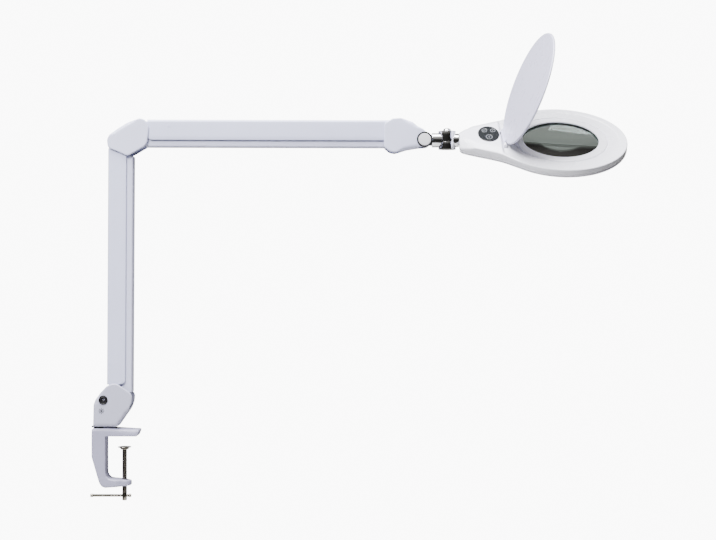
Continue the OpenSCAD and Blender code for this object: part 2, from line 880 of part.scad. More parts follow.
module switches() {
    color("#55555a") in_head() for (k = key_spots)
        translate([k[0], k[1], 3]) cylinder(r = 2.6, h = 2.9);
}

module touch_panel() {
    color("#2a2d33") in_head() difference() {
        plate(8.5, 9.3) ellipse_2d(panel_at, 16.6, 25.4);
        for (k = key_spots)
            plate(5, 15) ellipse_2d([k[0], k[1]], k[2] + 0.2, k[3] + 0.2);
    }
}

module key(i) {
    k = key_spots[i];
    color("#4a4e56") in_head() {
        plate(8.9, 9.7) ellipse_2d([k[0], k[1]], k[2], k[3]);
        translate([k[0], k[1], 6.3]) cylinder(r = 1.8, h = 2.7);
    }
}

module key_power() { key(0); }
module key_dimmer() { key(1); }
module key_brighter() { key(2); }

module status_led() {
    color("#33363c") in_head() translate([status_at[0], status_at[1], 4]) cylinder(r = 1.2, h = 3);
}

module head_screws() {
    color("#77777c") in_head() for (s = cover_screws) translate([s[0], s[1], s[2]]) {
        translate([0, 0, -1]) cylinder(r = 1.45, h = 6.5);
        translate([0, 0, -1.9]) cylinder(r = 2.8, h = 0.95);
    }
}

module lid_brackets() {
    color("#e4e2ec") in_head() difference() {
        for (side = [-1, 1]) translate([0, side * 26, 0]) {
            bar_y(hinge_at, hinge_barrel_r, -3.6, 3.6);
            translate([hinge_at[0] - hinge_barrel_r, -3.6, 0])
                cube([2 * hinge_barrel_r, 7.2, hinge_at[1]]);
        }
        bar_y(hinge_at, 1.22, -40, 40);
    }
}

module lid_pin() {
    color("#a8a8ac") in_head() bar_y(hinge_at, 1.2, -29, 29);
}

// the cover as it lies shut on the ring
module lid_shut() {
    chord = hinge_at[0] + 4.2;
    top = hinge_at[1] + 1.8;
    difference() {
        union() {
            plate(top - 2, top) intersection() {
                circle(lid_r, $fn = 128);
                translate([chord, -100]) square([200, 200]);
            }
            plate(1.5, top - 1) intersection() {
                ring_2d(lid_r, lid_r - 2);
                translate([chord + 1, -100]) square([200, 200]);
            }
            bar_y(hinge_at, hinge_barrel_r, -22, 22);
            translate([hinge_at[0], -22, top - 2]) cube([6, 44, 2]);
        }
        bar_y(hinge_at, 1.25, -40, 40);
    }
}

module lid() {
    color("#e0dee9") in_head() translate([hinge_at[0], 0, hinge_at[1]]) rotate([0, -lid_open, 0])
        translate([-hinge_at[0], 0, -hinge_at[1]]) lid_shut();
}

clamp_frame();
swivel_bush();
pressure_pad();
clamp_spindle();
tommy_bar();
base_shell_front();
base_shell_rear();
base_core();
swivel_pin();
base_pivot_pins();
base_screws();
dc_inlet();
dc_inlet_pin();
sun_mark();
lower_outer_channel();
lower_inner_channel();
lower_spring();
lower_spring_pins();
elbow_shell_front();
elbow_shell_rear();
elbow_core();
elbow_pivot_pins();
elbow_screws();
upper_outer_channel();
upper_inner_channel();
upper_spring();
upper_spring_pins();
end_shell_front();
end_shell_rear();
end_core();
end_pivot_pins();
end_screws();
tilt_bolt();
tilt_nut();
neck();
stem();
knuckle_bolt();
dome_nut();
stem_collar();
head_top_cover();
head_bottom_cover();
lens();
lens_gasket();
lens_retainer();
led_board();
leds();
led_diffuser();
stem_socket();
control_board();
switches();
touch_panel();
status_led();
head_screws();
lid_brackets();
lid_pin();
lid();
key_power();
key_dimmer();
key_brighter();
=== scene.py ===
import json
import math

import bmesh
import bpy
import numpy as np
from mathutils import Matrix, Vector
from mathutils.geometry import delaunay_2d_cdt


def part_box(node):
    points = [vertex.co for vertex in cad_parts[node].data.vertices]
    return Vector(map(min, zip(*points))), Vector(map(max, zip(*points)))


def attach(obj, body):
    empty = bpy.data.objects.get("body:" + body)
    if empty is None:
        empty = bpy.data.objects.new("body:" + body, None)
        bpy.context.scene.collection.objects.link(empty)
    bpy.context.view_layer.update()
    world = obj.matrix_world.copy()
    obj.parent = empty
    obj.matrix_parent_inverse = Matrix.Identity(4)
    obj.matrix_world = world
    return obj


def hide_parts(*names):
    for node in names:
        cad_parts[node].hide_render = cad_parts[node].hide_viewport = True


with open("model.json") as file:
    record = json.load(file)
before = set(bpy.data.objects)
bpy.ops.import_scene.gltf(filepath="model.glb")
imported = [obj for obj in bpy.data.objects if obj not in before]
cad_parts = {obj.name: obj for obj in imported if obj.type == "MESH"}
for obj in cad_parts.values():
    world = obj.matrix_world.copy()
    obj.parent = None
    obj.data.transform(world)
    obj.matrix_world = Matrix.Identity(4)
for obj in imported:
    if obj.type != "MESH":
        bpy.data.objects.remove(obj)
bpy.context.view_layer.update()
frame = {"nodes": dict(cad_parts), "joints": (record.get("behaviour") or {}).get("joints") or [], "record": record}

MM = 0.001
record = frame["record"]
nodes = frame["nodes"]
scene = bpy.context.scene
joints = {j["name"]: j for j in frame["joints"]}
slot_of = {s["node"]: s["material_slot"] for s in record["subparts"]}


def pivot(name):
    """A pivot's place in the plane of the arms, as (x, z) in millimetres."""
    x, _, z = joints[name]["pos_m"]
    return np.array([x / MM, z / MM])


def node_box(name):
    """A CAD node's lowest and highest corners, in millimetres."""
    lo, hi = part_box(name)
    return [c / MM for c in lo], [c / MM for c in hi]


# ------------------------------------------------------------------ camera

# level and square to the arms, so far in front that the clamp and the head both show their sides
CAMERA_AT = (0.3618, -2.175, 0.2566)
SENSOR, LENS = 36.0, 70.54

cam_data = bpy.data.cameras.new("camera")
cam_data.sensor_width = SENSOR
cam_data.lens = LENS
cam_data.clip_end = 60.0
cam = bpy.data.objects.new("camera", cam_data)
cam.location = CAMERA_AT
cam.rotation_euler = (math.radians(90), 0, 0)
scene.collection.objects.link(cam)
scene.camera = cam

# ------------------------------------------------------------------ materials


class Shader:
    """A small helper for building one material's nodes."""

    def __init__(self, name):
        self.mat = bpy.data.materials.new(name)
        self.mat.use_nodes = True
        self.tree = self.mat.node_tree
        self.bsdf = self.tree.nodes["Principled BSDF"]
        self.coord = self.node("ShaderNodeTexCoord").outputs["Object"]

    def node(self, kind, **values):
        n = self.tree.nodes.new(kind)
        for key, value in values.items():
            if key in n.inputs:
                n.inputs[key].default_value = value
            else:
                setattr(n, key, value)
        return n

    def link(self, a, b):
        self.tree.links.new(a, b)

    def set(self, **values):
        for key, value in values.items():
            self.bsdf.inputs[key.replace("_", " ")].default_value = value

    def stretched(self, scale):
        m = self.node("ShaderNodeMapping")
        m.inputs["Scale"].default_value = scale
        self.link(self.coord, m.inputs["Vector"])
        return m.outputs["Vector"]

    def noise(self, scale, detail=4.0, vector=None):
        n = self.node("ShaderNodeTexNoise", Scale=scale, Detail=detail, Roughness=0.55)
        self.link(vector or self.coord, n.inputs["Vector"])
        return n.outputs["Fac"]

    def ramp(self, fac, low, high):
        """fac's middle range spread between two colours."""
        n = self.node("ShaderNodeValToRGB")
        stops = n.color_ramp.elements
        stops[0].position, stops[1].position = 0.3, 0.7
        stops[0].color, stops[1].color = (*low, 1), (*high, 1)
        self.link(fac, n.inputs["Fac"])
        return n.outputs["Color"]

    def spread(self, fac, low, high):
        """fac spread between two values."""
        n = self.node("ShaderNodeMapRange")
        n.inputs["To Min"].default_value = low
        n.inputs["To Max"].default_value = high
        self.link(fac, n.inputs["Value"])
        return n.outputs["Result"]

    def bump(self, height, strength, distance):
        n = self.node("ShaderNodeBump", Strength=strength, Distance=distance)
        self.link(height, n.inputs["Height"])
        self.link(n.outputs["Normal"], self.bsdf.inputs["Normal"])


def shade(colour, by):
    """A colour made lighter or darker by a factor."""
    return tuple(min(1.0, c * by) for c in colour)


def coated(name, colour, rough=0.4, grain=900.0, bump=0.12, depth=0.0002, vary=0.03):
    """Powder coat or moulded plastic: slight mottling, orange peel and uneven gloss."""
    s = Shader(name)
    mottle = s.noise(14.0, 5.0)
    s.link(s.ramp(mottle, shade(colour, 1 - vary), shade(colour, 1 + vary)),
           s.bsdf.inputs["Base Color"])
    s.link(s.spread(s.noise(60.0, 3.0), rough - 0.05, rough + 0.06),
           s.bsdf.inputs["Roughness"])
    s.bump(s.noise(grain, 2.0), bump, depth)
    return s


def metal(name, colour, rough, streak, grain=500.0, bump=0.05, vary=0.04):
    """Bare or plated metal with drawing or polishing marks along one direction."""
    s = Shader(name)
    s.set(Metallic=1.0)
    lines = s.noise(grain, 3.0, vector=s.stretched(streak))
    s.link(s.ramp(lines, shade(colour, 1 - vary), shade(colour, 1 + vary)),
           s.bsdf.inputs["Base Color"])
    s.link(s.spread(s.noise(40.0, 4.0), max(0.02, rough * 0.8), rough * 1.25),
           s.bsdf.inputs["Roughness"])
    s.bump(lines, bump, 0.00005)
    return s


# colour, roughness, grain, bump, bump depth, mottling
COATINGS = {
    "clamp_paint": ((0.36, 0.355, 0.49), 0.42, 700.0, 0.25, 0.0004),
    "arm_paint": ((0.66, 0.685, 0.92), 0.34, 800.0, 0.10),
    "inner_paint": ((0.62, 0.635, 0.84), 0.38, 800.0, 0.10),
    "housing_plastic": ((0.68, 0.70, 0.92), 0.36, 1500.0, 0.10, 0.0001),
    # the base housing: a darker copy of the housing plastic, painted shade on the low base
    "base_plastic_painted_shade": ((0.50, 0.505, 0.65), 0.38, 1500.0, 0.10, 0.0001),
    "head_plastic": ((0.80, 0.80, 0.88), 0.26, 300.0, 0.04, 0.0001, 0.015),
    # the head's lower cover: a greyer copy of the head plastic, painted shade on the head's underside
    "under_plastic_painted_shade": ((0.58, 0.58, 0.65), 0.30, 300.0, 0.04, 0.0001, 0.015),
    "lid_plastic": ((0.56, 0.555, 0.73), 0.28, 300.0, 0.04, 0.0001, 0.015),
    "black_plastic": ((0.012, 0.012, 0.014), 0.38, 1200.0, 0.2, 0.0001, 0.2),
    "rubber": ((0.025, 0.025, 0.027), 0.7, 900.0, 0.4, 0.0002, 0.15),
    "board_white": ((0.80, 0.81, 0.77), 0.45, 200.0, 0.1, 0.0001, 0.04),
    "board_green": ((0.02, 0.14, 0.06), 0.35, 400.0, 0.2, 0.0001, 0.25),
    "led_yellow": ((0.86, 0.70, 0.22), 0.3, 600.0, 0.1, 0.0001, 0.05),
    "panel_gloss": ((0.010, 0.0115, 0.0135), 0.14, 300.0, 0.03, 0.0001, 0.12),
    "key_gloss": ((0.016, 0.018, 0.021), 0.16, 300.0, 0.03, 0.0001, 0.12),
    "marking": ((0.045, 0.045, 0.055), 0.5, 900.0, 0.1, 0.0001, 0.1),
    "bezel_grey": ((0.15, 0.16, 0.16), 0.5, 900.0, 0.1, 0.0001, 0.05),
    # the chrome tilt cap drawn as a light grey coat: a painted reflection of the bright surroundings
    "cap_painted_reflection": ((0.74, 0.74, 0.78), 0.22, 900.0, 0.02, 0.0001, 0.02),
    "icon_grey": ((0.16, 0.17, 0.19), 0.3, 900.0, 0.05, 0.0001, 0.05),
    "diffuser": ((0.90, 0.90, 0.91), 0.35, 500.0, 0.05, 0.0001, 0.01),
}
# colour, roughness, stretch of the marks, grain, bump, mottling
METALS = {
    "dark_steel": ((0.21, 0.195, 0.165), 0.26, (1.0, 1.0, 12.0)),
    "core_steel": ((0.36, 0.36, 0.37), 0.38, (1.0, 1.0, 9.0)),
    "pin_steel": ((0.55, 0.55, 0.56), 0.26, (1.0, 9.0, 1.0)),
    "spring_steel": ((0.42, 0.42, 0.44), 0.30, (6.0, 6.0, 1.0)),
    "chrome": ((0.64, 0.645, 0.665), 0.09, (1.0, 1.0, 3.0), 90.0, 0.015, 0.01),
}
made = {name: coated(name, *look) for name, look in COATINGS.items()}
made.update((name, metal(name, *look)) for name, look in METALS.items())
made["chrome"].set(Coat_Weight=0.2, Coat_Roughness=0.04)
made["black_plastic"].set(Specular_IOR_Level=0.2)
made["panel_gloss"].set(Coat_Weight=0.15, Coat_Roughness=0.05)
made["diffuser"].set(Transmission_Weight=0.25, Subsurface_Weight=0.3)
made["diffuser"].set(Subsurface_Radius=(0.004, 0.004, 0.004))

glass = Shader("lens_glass")
glass.set(Transmission_Weight=1.0, IOR=1.5)
glass.link(glass.ramp(glass.noise(6.0), (0.72, 0.86, 0.84), (0.75, 0.88, 0.86)),
           glass.bsdf.inputs["Base Color"])
glass.link(glass.spread(glass.noise(25.0), 0.0, 0.012), glass.bsdf.inputs["Roughness"])
made["lens_glass"] = glass

for name, obj in nodes.items():
    obj.data.materials.clear()
    obj.data.materials.append(made[slot_of[name]].mat)


def soften(name, width):
    """Breaks a CAD node's sharp edges, as a casting, moulding or turned part has them."""
    obj = nodes[name]
    weld = obj.modifiers.new("weld", "WELD")
    weld.merge_threshold = 2e-6
    bevel = obj.modifiers.new("bevel", "BEVEL")
    bevel.width = width * MM
    bevel.segments = 3
    bevel.limit_method = "ANGLE"
    bevel.angle_limit = math.radians(32)
    bevel.harden_normals = True


# ------------------------------------------------------------------ mesh helpers


def piece(name, verts, faces, look, body, replaces=(), place=None, smooth=True):
    """Makes one mesh piece from millimetres, in a local frame if place is given."""
    mesh = bpy.data.meshes.new(name)
    mesh.from_pydata([tuple(float(c) * MM for c in v) for v in verts], [], faces)
    mesh.validate()
    obj = bpy.data.objects.new(name, mesh)
    scene.collection.objects.link(obj)
    if place is not None:
        mesh.transform(place)
    bm = bmesh.new()
    bm.from_mesh(mesh)
    bmesh.ops.remove_doubles(bm, verts=bm.verts, dist=1e-7)
    bmesh.ops.recalc_face_normals(bm, faces=bm.faces)
    for f in bm.faces:
        f.smooth = smooth
    bm.to_mesh(mesh)
    bm.free()
    mesh.materials.append(made[look].mat)
    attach(obj, body)
    if replaces:
        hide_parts(*replaces)
    return obj


def weighted(obj):
    """Shades each point by its larger faces, so that flat faces look flat."""
    m = obj.modifiers.new("normals", "WEIGHTED_NORMAL")
    m.keep_sharp = True


def thicken(obj, thickness, even=True):
    """Gives a sheet its thickness, inwards from the modelled face."""
    m = obj.modifiers.new("thickness", "SOLIDIFY")
    m.thickness = thickness * MM
    m.offset = -1.0
    m.use_even_offset = even


def rounded(corners, step, shift=(0, 0)):
    """A closed outline through (x, z, radius) corners, each rounded in steps of so many degrees."""
    table = np.array(corners, float)
    pts, radii = table[:, :2] + shift, table[:, 2]
    n = len(pts)
    out = []
    for i in range(n):
        p, a, b = pts[i], pts[i - 1], pts[(i + 1) % n]
        da, db = a - p, b - p
        la, lb = np.linalg.norm(da), np.linalg.norm(db)
        da, db = da / la, db / lb
        turn = math.acos(max(-1.0, min(1.0, float(da @ db))))
        half = turn / 2
        r = radii[i]
        if r <= 0 or turn > math.radians(178.5):
            out.append(p)
            continue
        back = min(r / math.tan(half), 0.46 * la, 0.46 * lb)
        r = back * math.tan(half)
        centre = p + (da + db) / np.linalg.norm(da + db) * (r / math.sin(half))
        s, e = p + da * back - centre, p + db * back - centre
        sweep = math.acos(max(-1.0, min(1.0, float(s @ e) / (r * r))))
        k = max(2, int(math.degrees(sweep) / step) + 1)
        for j in range(k + 1):
            t = j / k
            w = (math.sin((1 - t) * sweep) * s + math.sin(t * sweep) * e) / math.sin(sweep)
            out.append(centre + w)
    return np.array(out)


def resample(points, spacing):
    """Points at an even spacing along a closed outline."""
    pts = np.array(points, float)
    pts = np.vstack([pts, pts[:1]])
    seg = np.linalg.norm(np.diff(pts, axis=0), axis=1)
    at = np.concatenate([[0], np.cumsum(seg)])
    n = max(8, int(round(at[-1] / spacing)))
    want = np.linspace(0, at[-1], n + 1)[:n]
    return np.column_stack([np.interp(want, at, pts[:, k]) for k in (0, 1)])


def inward(points):
    """Unit inward normals of a closed outline."""
    pts = np.array(points, float)
    tangent = np.roll(pts, -1, axis=0) - np.roll(pts, 1, axis=0)
    tangent /= np.linalg.norm(tangent, axis=1)[:, None]
    normal = np.column_stack([-tangent[:, 1], tangent[:, 0]])
    area = 0.5 * np.sum(pts[:, 0] * np.roll(pts[:, 1], -1) - np.roll(pts[:, 0], -1) * pts[:, 1])
    return normal if area > 0 else -normal


def lathe(name, profile, look, body, place, segments=96, **more):
    """Turns a profile of (radius, height) round the local Z axis."""
    verts, faces = [], []
    n = len(profile)
    for i in range(segments):
        a = 2 * math.pi * i / segments
        for r, z in profile:
            verts.append((r * math.cos(a), r * math.sin(a), z))
    for i in range(segments):
        k = (i + 1) % segments
        for j in range(n - 1):
            faces.append((i * n + j, k * n + j, k * n + j + 1, i * n + j + 1))
    return piece(name, verts, faces, look, body, place=place, **more)


def arc(cx, cz, r, start, end, n=6):
    """Points on an arc, angles in degrees."""
    return [(cx + r * math.cos(math.radians(start + (end - start) * i / n)),
             cz + r * math.sin(math.radians(start + (end - start) * i / n)))
            for i in range(n + 1)]


def at_point(x, y, z):
    """A local frame at a point, square to the world."""
    return Matrix.Translation(Vector((x, y, z)) * MM)


def facing(x, y, z, direction):
    """A local frame at a point whose Z axis looks along a direction."""
    return at_point(x, y, z) @ Vector(direction).to_track_quat("Z", "Y").to_matrix().to_4x4()


# ------------------------------------------------------------------ housings


def away(points, line):
    """Distance from each point to a closed line, and the nearest line point's number."""
    p = np.array(points)[:, None, :]
    a = np.array(line)[None, :, :]
    b = np.roll(a, -1, axis=1)
    d = b - a
    t = np.clip(((p - a) * d).sum(2) / np.maximum((d * d).sum(2), 1e-12), 0, 1)
    gap = np.linalg.norm(p - (a + d * t[..., None]), axis=2)
    near = gap.argmin(1)
    return gap.min(1), near


def inside(points, line):
    """Which points lie inside a closed line."""
    p, a = np.array(points), np.array(line)
    b = np.roll(a, -1, axis=0)
    hit = np.zeros(len(p), bool)
    for (x0, y0), (x1, y1) in zip(a, b):
        if y0 == y1:
            continue
        cross = (p[:, 1] > min(y0, y1)) & (p[:, 1] <= max(y0, y1))
        hit ^= cross & (p[:, 0] < x0 + (p[:, 1] - y0) / (y1 - y0) * (x1 - x0))
    return hit


def spots_inside(line, spacing):
    """A staggered grid of points inside a closed line."""
    lo, hi = np.min(line, 0), np.max(line, 0)
    rows = np.arange(lo[1], hi[1], spacing * 0.87)
    pts = [(x + (i % 2) * spacing / 2, y) for i, y in enumerate(rows)
           for x in np.arange(lo[0], hi[0], spacing)]
    pts = np.array(pts)
    return pts[inside(pts, line)]


def meshed(loops, loose):
    """Triangles that fill the first loop less the others, using all the loose points."""
    verts = [Vector(p) for loop in loops for p in loop]
    edges, at = [], 0
    for loop in loops:
        n = len(loop)
        edges += [(at + i, at + (i + 1) % n) for i in range(n)]
        at += n
    verts += [Vector(p) for p in loose]
    out, _, faces, _, _, _ = delaunay_2d_cdt(verts, edges, [], 0, 1e-6)
    out = np.array([tuple(v) for v in out])
    mid = np.array([out[list(f)].mean(0) for f in faces])
    keep = inside(mid, loops[0])
    for hole in loops[1:]:
        keep &= ~inside(mid, hole)
    return out, [tuple(f) for f, k in zip(faces, keep) if k]


def circle_at(p, r, n=48):
    """Points round a circle."""
    return [(p[0] + r * math.cos(2 * math.pi * i / n), p[1] + r * math.sin(2 * math.pi * i / n))
            for i in range(n)]


def pillow(outline, edge, spacing=1.0, grid=4.0, holes=()):
    """A flat plan whose rim falls away in a round, as (plan points, faces, drops, rim line).

    edge gives the rounding at each point of the outline."""
    ring = resample(outline, spacing)
    normal = inward(ring)
    soft = np.array([edge(p) for p in ring], float)
    reach = 5
    kernel = np.ones(2 * reach + 1) / (2 * reach + 1)
    soft = np.convolve(np.concatenate([soft[-reach:], soft, soft[:reach]]), kernel, "valid")
    loose = []
    for degrees in (12, 25, 38, 52, 68, 90):
        deep = soft * (1 - math.cos(math.radians(degrees)))
        row = ring + normal * deep[:, None]
        gap, _ = away(row, ring)
        loose.append(row[(gap > deep * 0.97) & inside(row, ring)])
    mid = spots_inside(ring, grid)
    gap, near = away(mid, ring)
    loose.append(mid[gap > soft[near] + 0.8])
    loose = np.vstack(loose)
    for p, r in holes:
        loose = loose[np.linalg.norm(loose - p, axis=1) > r + 0.4]
    plan, faces = meshed([ring] + [circle_at(p, r) for p, r in holes], loose)
    gap, near = away(plan, ring)
    s = soft[near]
    t = np.clip(1 - gap / s, 0, 1)
    drop = s * (1 - np.sqrt(np.maximum(0.0, 1 - t * t)))
    return plan, faces, drop, ring


def rim_order(plan, ring):
    """The plan vertices that lie on the ring, in its order."""
    return [int(np.abs(plan - p).sum(1).argmin()) for p in ring]


def wall_from(order, base):
    """Faces between a rim and a matching row of points that starts at vertex base."""
    n = len(order)
    return [(order[i], order[(i + 1) % n], base + (i + 1) % n, base + i) for i in range(n)]


HOUSING_HALF, HOUSING_SHEET = 17.4, 1.2
SEAM, OPEN_TO = 0.12, 15.5


def half_shell(name, outline, walled, side, look, body, holes=()):
    """Half of a moulded housing: its cheek, and walls back to the middle seam where walled.

    A row of points just below the rim keeps the shading of the walls even."""
    def edge(p):
        return 5.2 if walled(p) else 1.9

    plan, faces, drop, ring = pillow(outline, edge, holes=holes)
    y = HOUSING_HALF - drop
    verts = [(x, side * d, z) for (x, z), d in zip(plan, y)]
    order = rim_order(plan, ring)
    rim = y[order]
    stop = np.minimum([SEAM if walled(p) else OPEN_TO for p in ring], rim)
    n = len(order)
    base = len(verts)
    for row in (np.maximum(stop, rim - 0.08), stop):
        verts += [(x, side * d, z) for (x, z), d in zip(ring, row)]
    for i in range(n):
        j = (i + 1) % n
        if max(rim[i] - stop[i], rim[j] - stop[j]) > 0.05:
            faces.append((order[i], order[j], base + j, base + i))
            faces.append((base + i, base + j, base + n + j, base + n + i))
    obj = piece(name, verts, faces, look, body, [name.replace("housing", "shell")])
    thicken(obj, HOUSING_SHEET, even=False)
    weighted(obj)


def solid_slab(name, outline, edge, half, look, body, replaces, shaped):
    """A solid casting: two faces with rounded rims, and the sides between them.

    shaped moves each point of the straight slab to its place in the casting."""
    plan, faces, drop, ring = pillow(outline, edge)
    order = rim_order(plan, ring)
    n, m = len(plan), len(order)
    verts = [(x, -half + d, z) for (x, z), d in zip(plan, drop)]
    verts += [(x, half - d, z) for (x, z), d in zip(plan, drop)]
    both = list(faces) + [tuple(n + k for k in reversed(f)) for f in faces]
    for i in range(m):
        a, b = order[i], order[(i + 1) % m]
        both.append((a, b, n + b, n + a))
    return piece(name, [shaped(v) for v in verts], both, look, body, replaces)


def bake(obj):
    """Applies a piece's modifiers to its mesh."""
    dg = bpy.context.evaluated_depsgraph_get()
    mesh = bpy.data.meshes.new_from_object(obj.evaluated_get(dg))
    obj.modifiers.clear()
    obj.data = mesh


def bore(obj, x, z0, z1, r):
    """Bores a round hole along Z through a piece."""
    bpy.ops.mesh.primitive_cylinder_add(
        vertices=64, radius=r * MM, depth=(z1 - z0) * MM, location=(x * MM, 0, (z0 + z1) / 2 * MM))
    cutter = bpy.context.object
    mod = obj.modifiers.new("bore", "BOOLEAN")
    mod.operation = "DIFFERENCE"
    mod.object = cutter
    mod.solver = "EXACT"
    bake(obj)
    bpy.data.objects.remove(cutter)


lower_pin, lower_inner_pin, elbow_pin = map(pivot, ("lower_swing", "lower_inner_swing",
                                                    "elbow_level"))
upper_pin, upper_inner_pin, end_pin = map(pivot, ("upper_swing", "upper_inner_swing",
                                                  "end_level"))
tilt_pin = pivot("head_tilt")
inlet_at = np.array((-30.2, 56.6))

BASE_LOW = 15.3
base_edge = rounded([
    (-46.6, BASE_LOW, 1.5), (-45.8, 49.8, 12), (-42.5, 57.5, 12), (-35.3, 67.2, 14),
    (-24.6, 78.2, 14), (-15.1, 82.1, 9), (-8, 80.6, 14), (6.8, 70.6, 8), (12.2, 66.2, 5),
    (14.2, 61.6, 4), (13.3, 52.4, 14), (9.2, 41.5, 30), (0.6, 29, 30), (-9, BASE_LOW, 1.5)], 8)
elbow_edge = rounded([
    (-10.4, -8.6, 4), (-8.2, -12.0, 3), (17.4, -22.8, 4), (20.2, -23.2, 3), (28, -20, 20),
    (46.4, -9, 6), (50, -4, 6), (52.6, 14, 20), (52.8, 20.4, 10), (49.5, 29, 8), (45, 32.8, 8),
    (39, 34.4, 8), (33, 32.4, 12), (20.4, 28.3, 25), (5.4, 19.2, 25), (-7.6, 9.6, 10),
    (-11.7, 1.6, 9)], 8, elbow_pin)
end_edge = rounded([
    (-22, -27, 3), (-22, 3.4, 8), (-21.2, 8.6, 4), (-12, 13.6, 8), (-9, 15.6, 8), (4, 16.4, 10),
    (15.6, 12.6, 14), (22.1, 10.2, 3), (29.8, 3.9, 10), (38.1, -0.6, 14), (43.4, -5.4, 8),
    (49.4, -9.8, 8), (51.6, -16.9, 8), (49.4, -24, 8), (43.4, -28, 8), (32.7, -28.6, 20),
    (13.3, -31.9, 20), (1.5, -35.4, 10), (-6, -37.3, 8), (-13.7, -35.4, 6), (-20.8, -29.6, 4)],
    8, end_pin)


def base_walled(p):
    """The foot and the back are walled; the lower arm passes through the rest of the rim."""
    return p[1] < 40.5 or (p[0] < -34 and p[1] < 68)


def elbow_walled(p):
    """Only the shoulder between the two arms is walled."""
    x, z = p - elbow_pin
    return -4 < x < 30 and z > 6


def end_walled(p):
    """Walled above and below between the upper arm and the head joint."""
    x, z = p - end_pin
    return (9.5 < x < 31 and z > 0) or (3 < x < 31 and z < -20)


knob_hole = (tilt_pin, 7.3)
for tag, edge, walled, look, body, front_holes, rear_holes in (
        # the base's housing in the darker copy of the housing plastic: painted shade
        ("base", base_edge, base_walled, "base_plastic_painted_shade", "base", [(inlet_at, 5.3)], []),
        ("elbow", elbow_edge, elbow_walled, "housing_plastic", "elbow", [], []),
        ("end", end_edge, end_walled, "housing_plastic", "end_block", [knob_hole], [knob_hole])):
    half_shell(f"{tag}_housing_front", edge, walled, -1, look, body, front_holes)
    half_shell(f"{tag}_housing_rear", edge, walled, 1, look, body, rear_holes)

# ------------------------------------------------------------------ clamp

OPENING, JAW_T, LOWER_T = 67.0, 13.5, 9.6
CLAMP_HALF, TIP_R, TAPER = 15.0, 11.3, 12.0
BACK_IN, BACK_OUT = -27.5, -49
jaw_top, jaw_low = -OPENING, -OPENING - LOWER_T
tip = TIP_R * math.pi / 2
clamp_line = [
    (-46, JAW_T, 3), (BACK_OUT, JAW_T - 3, 3), (BACK_OUT, -30.8, 12), (-37, jaw_top - 5.2, 8),
    (-33.5, jaw_top - 9.9, 6), (-28.5, jaw_low - 2.8, 6), (-1.1, jaw_low - 0.8, 20),
    (12.0, jaw_low + 0.4, 2), (tip, jaw_low + 2, 2), (tip, jaw_top - 3.4, 2),
    (12.0, jaw_top - 2.2, 2), (-1.1, jaw_top - 0.6, 20), (-16.3, jaw_top + 0.6, 20),
    (-22.1, jaw_top + 1.6, 5), (-25.7, jaw_top + 5, 5), (BACK_IN, jaw_top + 9.5, 6),
    (BACK_IN, 0, 1.5), (20.6, 0, 1), (21.4, 1, 1), (24.6, 8.4, 2), (24.0, 9.8, 1),
    (22.6, JAW_T - 2.9, 2), (-24, JAW_T, 12)]


def clamp_edge(p):
    """How far the casting is rounded: most along its top, least inside its throat."""
    x, z = p
    if z > JAW_T - 3.5:
        return 6.2
    if x < -44 and z > -30:
        return 2.6
    if z < jaw_top + 2:
        return 2.4
    return 1.3


def jaw_shaped(v):
    """Tapers the lower jaw and bends its straight end into a half round about the screw."""
    x, y, z = v
    if z > jaw_top + 8 or x < -TAPER:
        return v
    if x < 0:
        ease = 0.5 - 0.5 * math.cos(math.pi * (x + TAPER) / TAPER)
        return x, y * (1 - ease * (1 - TIP_R / CLAMP_HALF)), z
    turn = min(x / TIP_R, math.pi / 2)
    return TIP_R * math.sin(turn), y * math.cos(turn) * TIP_R / CLAMP_HALF, z


casting = solid_slab("clamp_casting", rounded(clamp_line, 10), clamp_edge, CLAMP_HALF,
                     "clamp_paint", "clamp", ["clamp_frame"], jaw_shaped)
bore(casting, 0, jaw_top - 20, jaw_top + 12, 3.95)
bore(casting, joints["base_swivel"]["pos_m"][0] / MM, JAW_T - 40, JAW_T + 4, 8.02)
weighted(casting)

upright = at_point(0, 0, 0)
pad_top = -17.0
lathe("pad_dish", [(0, pad_top - 0.35), (7.5, pad_top - 0.3), (8.6, pad_top)]
      + arc(9.9, pad_top - 0.6, 0.6, 90, -60, 6)
      + [(6.6, pad_top - 2.2)] + arc(5.9, pad_top - 3.0, 0.9, 60, 0, 4)
      + [(6.0, pad_top - 4.2), (3.1, pad_top - 4.2)], "dark_steel", "pad", upright,
      replaces=["pressure_pad"])


def threaded(name, r, depth, pitch, z0, z1, look, body, place, replaces):
    """A screw with a real helical thread between plain chamfered ends."""
    around, per_turn = 48, 5
    rows = int((z1 - z0) / pitch * per_turn)
    verts, faces = [], []
    for j in range(rows + 1):
        z = z0 + (z1 - z0) * j / rows
        end = min(1.0, min(j, rows - j) / (per_turn * 1.5))
        for i in range(around):
            a = 2 * math.pi * i / around
            wave = abs(((z / pitch - i / around) % 1.0) * 2 - 1)
            reach = r - depth * (1 - end) * 1.2 - depth * end * wave
            verts.append((reach * math.cos(a), reach * math.sin(a), z))
    for j in range(rows):
        for i in range(around):
            k = (i + 1) % around
            faces.append((j * around + i, j * around + k, (j + 1) * around + k,
                          (j + 1) * around + i))
    faces.append(tuple(reversed(range(around))))
    faces.append(tuple(rows * around + i for i in range(around)))
    return piece(name, verts, faces, look, body, replaces, place)


